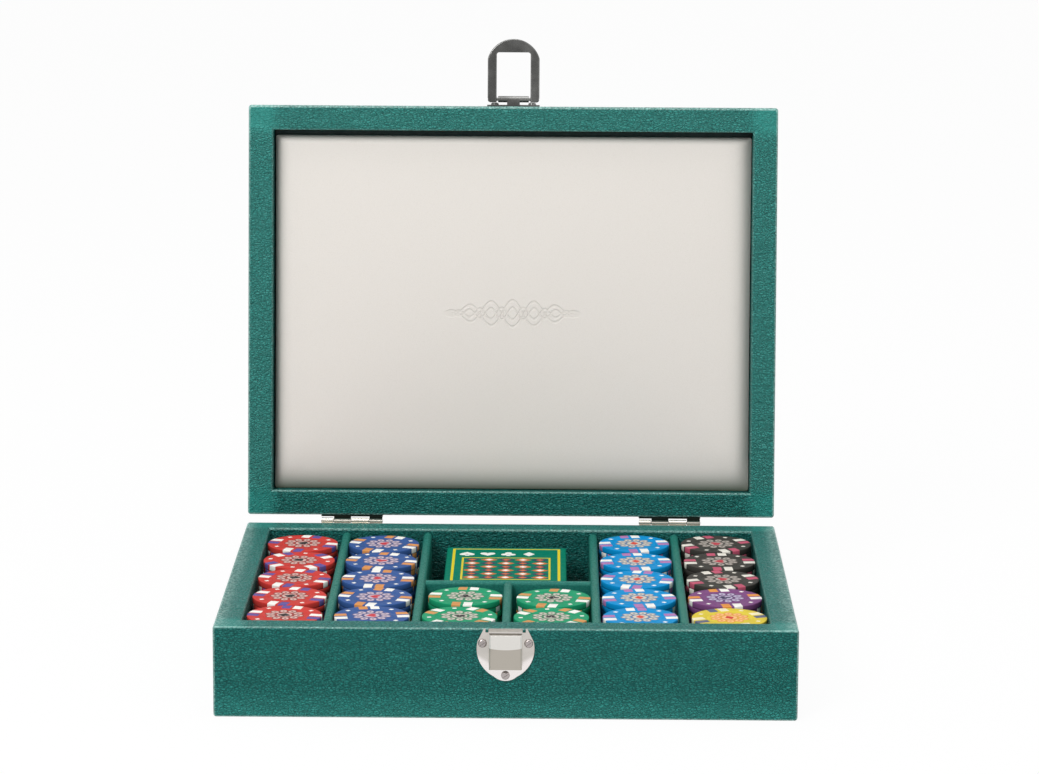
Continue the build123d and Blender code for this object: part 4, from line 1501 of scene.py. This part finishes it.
@dataclass
class LidCushion:
    """The padded leather panel inside the lid.

    Its rolls, and the reach and depth of the shade painted along each edge, are given for its left, right,
    closing and hinge side in turn.
    """

    HEM_SHADE = "hem"
    place: LidPlace
    edge_height: float = 2.0 * MM
    corner_radius: float = 1.4 * MM
    top_gap: float = 2.0 * MM
    draw_in: float = 0.2 * MM
    rolls: Sides = (11.0 * MM, 14.0 * MM, 5.0 * MM, 28.0 * MM)
    roll_power: float = 2.6
    # Painted shade along each edge: how far it reaches and how dark it is at the edge.
    hem_shade_reaches: Sides = (6.0 * MM, 12.0 * MM, 2.0 * MM, 15.0 * MM)
    hem_shade_tones: Sides = (0.2, 0.1, 0.1, 0.92)
    foot_reach: float = 0.5 * MM
    pressure: float = 4.0
    frames: int = 20
    swell_cap: float = 1.1 * MM
    cells: Tuple[int, int] = (60, 45)
    crown_rise: float = 0.9 * MM
    ripple_pitch: float = 26.0 * MM
    ripple_rise: float = 0.1 * MM
    bow_fade: float = 20.0 * MM
    corner_growth: float = 0.55
    steps_on_side: int = 56
    steps_on_corner: int = 6
    rings: int = 54
    ring_power: float = 2.2
    middle_gap: float = 1.0 * MM
    foot_levels: Tuple[Point2, ...] = ((0.4 * MM, 0.0), (0.0, 0.6 * MM))
    fill: float = 0.8

    def outline(self, half: Point2, inset: float) -> Outline:
        """A rounded rectangle whose sides bow inwards.

        Args:
            half: Half its width and half its depth before the inset.
            inset: How far it is drawn in all round.

        Returns:
            The same number of points for every inset, anticlockwise.
        """
        hx, hy = half[0] - inset, half[1] - inset
        radius = min(self.corner_radius + inset * self.corner_growth, hy * 0.98)
        points = []
        corners = ((hx, -hy, -90), (hx, hy, 0), (-hx, hy, 90), (-hx, -hy, 180))
        for x, y, start in corners:
            cx, cy = x - math.copysign(radius, x), y - math.copysign(radius, y)
            for index in range(self.steps_on_corner):
                angle = math.radians(start + 90 * index / self.steps_on_corner)
                points.append((cx + radius * math.cos(angle), cy + radius * math.sin(angle)))
            ends = self.side_ends(hx, hy, radius, start)
            for index in range(self.steps_on_side):
                share = index / self.steps_on_side
                bow = self.draw_in * math.sin(math.pi * share) * max(0.0, 1 - inset / self.bow_fade)
                angle = math.radians(start + 90)
                x_side = ends[0][0] + (ends[1][0] - ends[0][0]) * share - bow * math.cos(angle)
                y_side = ends[0][1] + (ends[1][1] - ends[0][1]) * share - bow * math.sin(angle)
                points.append((x_side, y_side))
        return points

    def side_ends(self, hx: float, hy: float, radius: float, start: int) -> Tuple[Point2, Point2]:
        """Find the ends of the straight side that follows a corner.

        Args:
            hx: Half the rectangle's width.
            hy: Half its depth.
            radius: The radius of its corners.
            start: The angle at which the corner starts, in degrees.

        Returns:
            The side's two ends.
        """
        sides = {
            -90: ((hx, -hy + radius), (hx, hy - radius)),
            0: ((hx - radius, hy), (-hx + radius, hy)),
            90: ((-hx, hy - radius), (-hx, -hy + radius)),
            180: ((-hx + radius, -hy), (hx - radius, -hy)),
        }
        return sides[start]

    def surface(self, half: Point2, x: float, y: float, crown: float) -> float:
        """How far the leather stands off the board at one point.

        Args:
            half: Half the cushion's width and depth.
            x: The point's place across, from the middle.
            y: The point's place towards the hinges, from the middle.
            crown: The cushion's full thickness.

        Returns:
            Its height: it rolls up from each side and swells a little towards the middle.
        """
        rise = 1.0
        for gap, roll in zip(self.gaps(half, x, y), self.rolls):
            rise *= 1 - (1 - min(1.0, gap / roll)) ** self.roll_power
        swell = math.cos(math.pi / 2 * x / half[0]) * math.cos(math.pi / 2 * y / half[1])
        ripple = noise.noise(Vector((x, y, 0)) / self.ripple_pitch) * self.ripple_rise
        shoulder = crown - self.crown_rise - self.edge_height
        return self.edge_height + shoulder * rise + (self.crown_rise * swell + ripple) * rise

    def gaps(self, half: Point2, x: float, y: float) -> Sides:
        """How far one point lies inside each of the four sides."""
        left, right, front, back = half[0] + x, half[0] - x, half[1] + y, half[1] - y
        return (max(0.0, left), max(0.0, right), max(0.0, front), max(0.0, back))

    def sheet(self, half: Point2, crown: float) -> bpy.types.Mesh:
        """Lay a plain grid of leather in the cushion's shape, for the cloth simulation.

        Args:
            half: Half the cushion's width and depth.
            crown: The cushion's full thickness.

        Returns:
            The grid's mesh, row by row.
        """
        columns, rows = self.cells
        shape = bmesh.new()
        points = []
        for row in range(rows + 1):
            for column in range(columns + 1):
                x = half[0] * (2 * column / columns - 1)
                y = half[1] * (2 * row / rows - 1)
                points.append(shape.verts.new((x, y, self.surface(half, x, y, crown))))
        for row in range(rows):
            for column in range(columns):
                first = row * (columns + 1) + column
                above = first + columns + 1
                shape.faces.new([points[index] for index in (first, first + 1, above + 1, above)])
        return plain_mesh(shape, "cushion_sheet")

    def settle(self, half: Point2, crown: float) -> List[Vector]:
        """How far a short cloth simulation moves each point of the sheet over its padding.

        Args:
            half: Half the cushion's width and depth.
            crown: The cushion's full thickness.

        Returns:
            The moves, row by row, scaled so that the largest one stays within the cap.
        """
        columns, rows = self.cells
        scene = bpy.context.scene
        mesh = self.sheet(half, crown)
        body = linked("cushion_sheet", mesh)
        hem = [row * (columns + 1) + column for row in range(rows + 1) for column in range(columns + 1)
               if row in (0, 1, rows - 1, rows) or column in (0, 1, columns - 1, columns)]
        body.vertex_groups.new(name="hem").add(hem, 1.0, "REPLACE")
        cloth = body.modifiers.new("cloth", "CLOTH")
        cloth.settings.vertex_group_mass = "hem"
        cloth.settings.use_pressure = True
        cloth.settings.uniform_pressure_force = self.pressure
        cloth.settings.effector_weights.gravity = 0.0
        cloth.point_cache.frame_end = self.frames
        for number in range(1, self.frames + 1):
            scene.frame_set(number)
        settled = body.evaluated_get(bpy.context.evaluated_depsgraph_get()).data
        moves = [after.co - before.co for before, after in zip(mesh.vertices, settled.vertices)]
        body.modifiers.remove(cloth)
        bpy.data.objects.remove(body)
        scene.frame_set(1)
        largest = max(move.length for move in moves)
        LOG.info("cushion: the cloth moved by up to %.2f mm", largest / MM)
        return [move * min(1.0, self.swell_cap / max(largest, 1e-9)) for move in moves]

    def moved(self, moves: Sequence[Vector], half: Point2, x: float, y: float) -> Vector:
        """Blend the sheet's move at any place smoothly from the nine grid points round it.

        Args:
            moves: The moves of the sheet's points, row by row.
            half: Half the cushion's width and depth.
            x: The place across, from the middle.
            y: The place towards the hinges, from the middle.

        Returns:
            The move.
        """
        columns, rows = self.cells
        u, v = (x / half[0] + 1) / 2 * columns, (y / half[1] + 1) / 2 * rows
        column, row = min(max(round(u), 1), columns - 1), min(max(round(v), 1), rows - 1)
        total = Vector((0, 0, 0))
        weights = [(0.5 * (0.5 - t) ** 2, 0.75 - t * t, 0.5 * (0.5 + t) ** 2) for t in (u - column, v - row)]
        for i, across in zip((-1, 0, 1), weights[0]):
            for j, along in zip((-1, 0, 1), weights[1]):
                total += moves[(row + j) * (columns + 1) + column + i] * (across * along)
        return total

    def hem_shade_share(self, half: Point2, x: float, y: float) -> float:
        """How much of the painted shade along the cushion's edges shows at one point.

        Args:
            half: Half the cushion's width and depth.
            x: The point's place across, from the middle.
            y: The point's place towards the hinges, from the middle.

        Returns:
            A share from 0 to 1.
        """
        light = 1.0
        for gap, reach, tone in zip(self.gaps(half, x, y), self.hem_shade_reaches, self.hem_shade_tones):
            light *= 1 - tone * (1 - min(1.0, gap / reach)) ** 2
        return 1 - light

    def build(self) -> None:
        """Build the cushion over its CAD solid."""
        low, high = self.place.shut_box("lid_cushion")
        top, foot = low.y + self.top_gap, high.y + self.foot_reach
        half = ((high.x - low.x + self.foot_reach) / 2, (foot - top) / 2)
        middle = Vector(((low.x + high.x + self.foot_reach) / 2, (foot + top) / 2, high.z))
        thickness = high.z - low.z
        crown = thickness - self.swell_cap
        shape = bmesh.new()
        rings = []
        reach = half[1] - self.middle_gap
        insets = [reach * (index / self.rings) ** self.ring_power for index in range(1, self.rings + 1)]
        levels = [*self.foot_levels, (0.0, self.edge_height)] + [(inset, None) for inset in insets]
        moves = self.settle(half, crown)
        for inset, height in levels:
            ring = []
            for x, y in self.outline(half, inset):
                place = Vector((x, y, height or 0.0))
                if height is None:
                    place.z = self.surface(half, x, y, crown)
                    place += self.moved(moves, half, x, y)
                ring.append(shape.verts.new(middle + Vector((place.x, place.y, -place.z))))
            rings.append(ring)
        for first, second in zip(rings, rings[1:]):
            ring_faces(shape, first, second)
        shape.faces.new(rings[0]).smooth = False
        shape.faces.new(rings[-1][::-1]).smooth = True
        mesh = finished_mesh(shape, "cushion")
        # Each point carries its share of the painted shade along the edges.
        hem = mesh.attributes.new(self.HEM_SHADE, "FLOAT", "POINT")
        for index, vertex in enumerate(mesh.vertices):
            offset = vertex.co - middle
            hem.data[index].value = self.hem_shade_share(half, offset.x, offset.y)
        mesh.transform(self.place.opened)
        piece = mesh_object("lid_cushion_padded", mesh, "lid")
        centre = tuple(self.place.opened @ middle)
        # The hem colour is the painted shade along the cushion's edges; the shadow colour is painted shade in
        # the grain and the pressed lines.
        finish = SmoothLeather(
            "leather_cream", shade(217, 212, 206), shadow=shade(196, 190, 180), hem=shade(70, 86, 66),
            panel=CoverFrame(centre, self.place.angle, (*half, thickness / 2), half))
        piece.data.materials.append(finish.build())
        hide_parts("lid_cushion")
        LOG.info("cushion: %d faces", len(mesh.polygons))


@dataclass
class CardPacks:
    """The print on the packs of cards: a frame line, a row of pips and a panel of lozenges."""

    INK = "ink"
    margin: float = 3.4 * MM
    thickness: float = 0.05 * MM
    pip_height: float = 8.5 * MM
    pip_pitch: float = 11.5 * MM
    pip_drop: float = 15.5 * MM
    panel_drop: float = 24.0 * MM
    panel_line: float = 1.1 * MM
    lozenge_size: Point2 = (9.4 * MM, 8.0 * MM)
    lozenge_rows: int = 6
    lozenge_columns: int = 5
    heart_share: float = 0.5
    heart_layers: float = 1.5

    def frame_line(self, plate: PrintPlate, low: Point, high: Point, top: float) -> None:
        """Lay the four yellow lines round the panel.

        Args:
            plate: The plate that gathers them.
            low: The panel's front left corner.
            high: Its back right corner.
            top: The height of the pack's top.
        """
        width = self.panel_line
        (x0, y0), (x1, y1) = low[:2], high[:2]
        for left, front, right, back in (
            (x0, y0, x1, y0 + width), (x0, y1 - width, x1, y1),
            (x0, y0 + width, x0 + width, y1 - width), (x1 - width, y0 + width, x1, y1 - width),
        ):
            outline = [(left, front), (right, front), (right, back), (left, back)]
            plate.add(outline, (0, 0, top), 1.0, self.thickness, 0.0)

    def build(self) -> None:
        """Dress both packs and lay the upper one's print on it."""
        green, yellow = shade(0, 118, 94), shade(214, 198, 48)
        low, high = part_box("card_pack_upper")
        centre = (low + high) / 2
        half = ((high.x - low.x) / 2 - self.margin, (high.y - low.y) / 2 - self.margin)
        box = CardBoxPrint("card_box", green, yellow, tuple(centre), half).build()
        for node in ("card_pack_lower", "card_pack_upper"):
            dress(node, box)
        white = PrintPlate(self.INK)
        for index, suit in enumerate((Suit.SPADE, Suit.HEART, Suit.CLUB, Suit.DIAMOND)):
            x = low.x + self.pip_pitch * (index + 1)
            for outline in PipShape(suit).outlines():
                white.add(outline, (x, high.y - self.pip_drop, high.z), self.pip_height, self.thickness, 0.0)
        width, depth = self.lozenge_size
        panel_width = width * self.lozenge_columns + 2 * self.panel_line
        panel_depth = depth * self.lozenge_rows + 2 * self.panel_line
        left = centre.x - panel_width / 2
        back = high.y - self.panel_drop
        coloured = PrintPlate(self.INK)
        self.frame_line(coloured, (left, back - panel_depth, 0), (left + panel_width, back, 0), high.z)
        for row in range(self.lozenge_rows):
            for column in range(self.lozenge_columns):
                x = left + self.panel_line + width * (column + 0.5)
                y = back - self.panel_line - depth * (row + 0.5)
                outline = [(width / 2, 0), (0, depth / 2), (-width / 2, 0), (0, -depth / 2)]
                ink, heart_ink = InlayPrint.LINE_INK, InlayPrint.LINE_INK
                if (row + column) % 2:
                    ink, heart_ink = InlayPrint.PIP_INK, 0.0
                height = self.thickness * self.heart_layers
                coloured.add(outline, (x, y, high.z), 1.0, self.thickness, ink)
                white.add(outline, (x, y, high.z), self.heart_share, height, heart_ink)
        paper = InlayPrint("card_print_white", WHITE, shade(206, 104, 48), WHITE)
        inks = InlayPrint("card_print_colours", yellow, shade(38, 46, 84), shade(206, 104, 48))
        for name, plate, finish in (("card_pips", white, paper), ("card_panel", coloured, inks)):
            piece = mesh_object(name, plate.mesh(name), "card_pack_upper")
            piece.data.materials.append(finish.build())


def dress(node: str, material: bpy.types.Material) -> None:
    """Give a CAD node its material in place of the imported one.

    Args:
        node: The node's name.
        material: The material.
    """
    slots = frame["nodes"][node].data.materials
    slots.clear()
    slots.append(material)


@dataclass
class CaseBody:
    """The boards, leather, lining and dividers of base and lid."""

    place: LidPlace
    wall: float = 14.0 * MM

    def cover(self, low: Vector, high: Vector, centre: Vector, turn: float, **shares: Any) -> CoverFrame:
        """Describe one cover's own box.

        Args:
            low: The box's lowest corner, before the turn.
            high: Its highest corner, before the turn.
            centre: Its middle, after the turn.
            turn: Its turn about X in radians.
            **shares: How much of each of its marks shows.

        Returns:
            The cover's frame.
        """
        half = (high - low) / 2
        opening = (half.x - self.wall, half.y - self.wall)
        return CoverFrame(tuple(centre), turn, tuple(half), opening, **shares)

    def covers(self) -> Dict[str, CoverFrame]:
        """Describe the two covers' own boxes.

        Returns:
            The frames by node.
        """
        low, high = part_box("base_leather_cover")
        # The shares set the painted light on each cover: its lighter foot, rims and sides.
        base = self.cover(low, high, (low + high) / 2, 0.0, foot=0.30, lift=(0.22, 0.35), side=0.8)
        low, high = self.place.shut_box("lid_leather_cover")
        middle = self.place.opened @ ((low + high) / 2)
        lid = self.cover(low, high, middle, self.place.angle, lift=(0.34, 0.04), face=-1.0)
        return {"base_leather_cover": base, "lid_leather_cover": lid}

    def build(self) -> None:
        """Dress every board and leather node."""
        # dark is the painted shade in the grain's creases; light is the painted highlight on the pebble tops
        # and the painted light on the covers' corners.
        green, dark, light = shade(12, 105, 99), shade(3, 68, 64), shade(42, 144, 134)
        leather = {
            node: PebbledLeather(node, green, dark, light, cover=cover).build()
            for node, cover in self.covers().items()
        }
        lining = PebbledLeather("tray_lining", green, dark, light).build()
        # The divider leather's second and third colours are its painted crease shade and its painted
        # pebble-top highlight.
        smooth = PebbledLeather(
            "divider_leather", shade(26, 112, 100), shade(14, 84, 76), shade(48, 134, 120),
            cell=1.1 * MM, relief=0.14 * MM).build()
        board = SpeckledStuff("board", shade(170, 140, 104), shade(130, 100, 70), size=0.8 * MM).build()
        cloth = SpeckledStuff("panel_cloth", shade(22, 44, 42), shade(50, 76, 72), size=0.3 * MM).build()
        for node in frame["nodes"]:
            if node in leather:
                dress(node, leather[node])
            elif node in ("lid_pad_board", "base_underside_panel"):
                dress(node, cloth)
            elif "board" in node:
                dress(node, board)
            elif node.startswith("divider"):
                dress(node, smooth)
            elif node == "tray_floor_lining":
                dress(node, lining)


@dataclass
class Metalwork:
    """The hinges, the lock and the hasp.

    The shares are parts of a piece's height. The bands and the rear limit lie round the hinge's axis.
    """

    place: LidPlace
    # The catch's bright upper part and the plate's bright lower part are painted reflections.
    catch_share: float = 0.57
    plate_share: float = 0.3
    over: float = 1.0 * MM
    # These bands are the painted shadow beside the hinge knuckles.
    foot_band: Point2 = (-2.1 * MM, -1.3 * MM)
    crest_band: Point2 = (0.9 * MM, 3.4 * MM)
    leaf_rear: float = 2.7 * MM

    def catch_zone(self) -> MetalZone:
        """The painted reflection on the catch: its bright upper part."""
        low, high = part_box("lock_catch")
        line = low.z + self.catch_share * (high.z - low.z)
        return MetalZone(shade(222, 219, 214), ((line, high.z + self.over),), 0.12 * MM, bend=12.0)

    def plate_zone(self) -> MetalZone:
        """The painted reflection on the lock plate: its bright lower part."""
        low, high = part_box("lock_plate")
        line = low.z + self.plate_share * (high.z - low.z)
        return MetalZone(shade(240, 234, 232), ((low.z - self.over, line),), 1.6 * MM, bend=24.0)

    def leaf(self, name: str, *bands: Point2) -> bpy.types.Material:
        """Make the metal of a hinge leaf, with painted shadow in bands by its knuckles.

        Args:
            name: The leaf's name.
            *bands: Where the painted shadow lies, as heights from the hinge's axis.

        Returns:
            The material.
        """
        axis = self.place.axis
        heights = tuple((axis.z + low, axis.z + high) for low, high in bands)
        zone = MetalZone(shade(44, 52, 46), heights, 0.2 * MM, rear=axis.y + self.leaf_rear)
        return PlatedMetal("nickel_" + name, shade(210, 205, 194), zone=zone).build()

    def build(self) -> None:
        """Dress every metal node."""
        nickel = PlatedMetal("nickel", shade(200, 196, 190), haze=0.2).build()
        # The screws' nickel and the dark nickel are shaded copies of the same nickel: painted shade for the
        # screw heads' dark rims, the hasp's dark reflections and the gaps between the hinge knuckles.
        heads = PlatedMetal("nickel_screws", shade(176, 168, 166), roughness=0.14).build()
        dark = PlatedMetal("nickel_dark", shade(126, 126, 124), roughness=0.2, haze=0.4).build()
        # The plate's bright lower part is a painted reflection.
        plate = PlatedMetal("nickel_plate", shade(206, 201, 195), haze=0.1, zone=self.plate_zone()).build()
        # The catch's darker nickel with its bright upper part is a painted reflection.
        catch_painted_reflection = PlatedMetal(
            "nickel_catch", shade(180, 174, 164), roughness=0.12, haze=0.06, zone=self.catch_zone()).build()
        base_leaf = self.leaf("base_leaf", self.foot_band)
        lid_leaf = self.leaf("lid_leaf", self.foot_band, self.crest_band)
        steel = PlatedMetal("spring_steel", shade(150, 150, 154), roughness=0.3).build()
        for node in frame["nodes"]:
            if node == "catch_spring":
                dress(node, steel)
            elif node.startswith("hasp"):
                dress(node, dark)
            elif node == "lock_catch":
                dress(node, catch_painted_reflection)
            elif node == "lock_plate":
                dress(node, plate)
            elif node.startswith("hinge") and node.endswith("pin"):
                dress(node, dark)
            elif node.startswith("hinge") and node.endswith("leaf"):
                dress(node, lid_leaf if "lid_leaf" in node else base_leaf)
            elif node.endswith("screws"):
                dress(node, heads)
            elif node.startswith(("hinge", "lock")):
                dress(node, nickel)


@dataclass
class Studio:
    """The floor, the lamps, the surroundings and the camera.

    Each lamp has a name, a place, a size and a power. The dark patch of the surroundings lies
    behind the camera, where gloss alone sees it.
    """

    lens: float = 135.6
    sensor: float = 36.0
    camera_place: Point = (0.0212, -2.0536, 0.5589)
    tilt: float = 11.24
    yaw: float = -0.438
    roll: float = 0.315
    floor_half: float = 9.0
    floor_shade: Colour = (0.9, 0.9, 0.9, 1.0)
    floor_glow: float = 0.95
    room_light: float = 0.55
    dark_shade: Colour = (0.4, 0.4, 0.4, 1.0)
    dark_ahead: Point2 = (-0.86, -0.95)
    dark_below: Point2 = (0.42, 0.30)
    aim: Point = (0.0, 0.0, 0.12)
    lamps: Tuple[Tuple[str, Point, float, float], ...] = (
        ("key", (-0.9, -1.7, 1.5), 0.9, 28.5),
        ("fill", (1.4, -1.6, 0.8), 1.2, 4.0),
        ("top", (-0.1, 0.1, 2.0), 0.9, 10.5),
    )

    def camera(self) -> None:
        """Place the camera."""
        data = bpy.data.cameras.new("camera")
        data.sensor_width = self.sensor
        data.lens = self.lens
        data.clip_start, data.clip_end = 0.05, 60.0
        camera = linked("camera", data)
        turn = Matrix.Rotation(math.radians(-self.yaw), 4, "Z")
        turn = turn @ Matrix.Rotation(math.radians(90 - self.tilt), 4, "X")
        turn = turn @ Matrix.Rotation(math.radians(self.roll), 4, "Z")
        camera.matrix_world = Matrix.Translation(self.camera_place) @ turn
        bpy.context.scene.camera = camera

    def seen_ray(self, bench: NodeBench) -> bpy.types.NodeSocket:
        """Mark the rays that show the surroundings: the camera's and those of gloss and glass.

        Args:
            bench: The bench of the material or the world.

        Returns:
            A mask that is 1 for those rays.
        """
        path = bench.add("ShaderNodeLightPath")
        seen = bench.larger(path.outputs["Is Camera Ray"], path.outputs["Is Glossy Ray"])
        return bench.larger(seen, path.outputs["Is Transmission Ray"])

    def floor(self) -> None:
        """A plain pale floor that fades to white and keeps the object's shadow."""
        reach = self.floor_half
        corners = [(-reach, -reach, 0), (reach, -reach, 0), (reach, reach, 0), (-reach, reach, 0)]
        mesh = bpy.data.meshes.new("floor")
        mesh.from_pydata(corners, [], [(0, 1, 2, 3)])
        floor = linked("floor", mesh)
        bench = MaterialBench("floor")
        bench.set(Base_Color=self.floor_shade, Roughness=0.8, Specular_IOR_Level=0.2)
        glow = bench.add("ShaderNodeEmission", {"Color": FULL_WHITE, "Strength": 1.0})
        share = bench.product(self.seen_ray(bench), self.floor_glow)
        mixed = bench.add("ShaderNodeMixShader", {0: share, 1: bench.shader.outputs[0], 2: glow.outputs[0]})
        bench.feed(bench.output.inputs["Surface"], mixed.outputs[0])
        mesh.materials.append(bench.material)

    def lamp(self, name: str, place: Point, size: float, power: float) -> None:
        """Hang a square soft lamp that points at the case.

        Args:
            name: The lamp's name.
            place: Its place.
            size: The length of its side.
            power: Its power in watts.
        """
        data = bpy.data.lights.new(name, "AREA")
        data.shape = "SQUARE"
        data.size = size
        data.energy = power
        lamp = linked(name, data)
        direction = Vector(self.aim) - Vector(place)
        turn = direction.to_track_quat("-Z", "Y").to_matrix().to_4x4()
        lamp.matrix_world = Matrix.Translation(place) @ turn

    def surroundings(self) -> None:
        """A white room to look at, softer as a source of light, and dark behind the camera."""
        world = bpy.data.worlds.new("studio")
        bpy.context.scene.world = world
        world.use_nodes = True
        bench = NodeBench(world.node_tree)
        bench.tree.nodes.clear()
        path = bench.add("ShaderNodeLightPath")
        direction = bench.split(bench.add("ShaderNodeTexCoord").outputs["Generated"])
        ahead = bench.step(direction["Y"], *self.dark_ahead)
        below = bench.step(direction["Z"], *self.dark_below)
        dark = bench.product(ahead, below, path.outputs["Is Glossy Ray"])
        room = bench.tint(dark, FULL_WHITE, self.dark_shade)
        white = bench.add("ShaderNodeBackground", {"Color": room, "Strength": 1.0})
        soft = bench.add("ShaderNodeBackground", {"Color": FULL_WHITE, "Strength": self.room_light})
        mixed = bench.add("ShaderNodeMixShader", {
            0: self.seen_ray(bench), 1: soft.outputs[0], 2: white.outputs[0]})
        bench.add("ShaderNodeOutputWorld", {"Surface": mixed.outputs[0]})

    def build(self) -> None:
        """Set the whole studio up."""
        self.camera()
        self.floor()
        self.surroundings()
        for name, place, size, power in self.lamps:
            self.lamp(name, place, size, power)
        bpy.context.scene.view_settings.view_transform = "Standard"


def main() -> None:
    """Build the looks of the case, piece by piece."""
    logging.basicConfig(level=logging.INFO, format="%(name)s: %(message)s")
    place = LidPlace()
    LidCushion(place).build()
    Studio().build()
    CaseBody(place).build()
    Metalwork(place).build()
    ChipStacks().build()
    CardPacks().build()


if __name__ == "__main__":
    main()
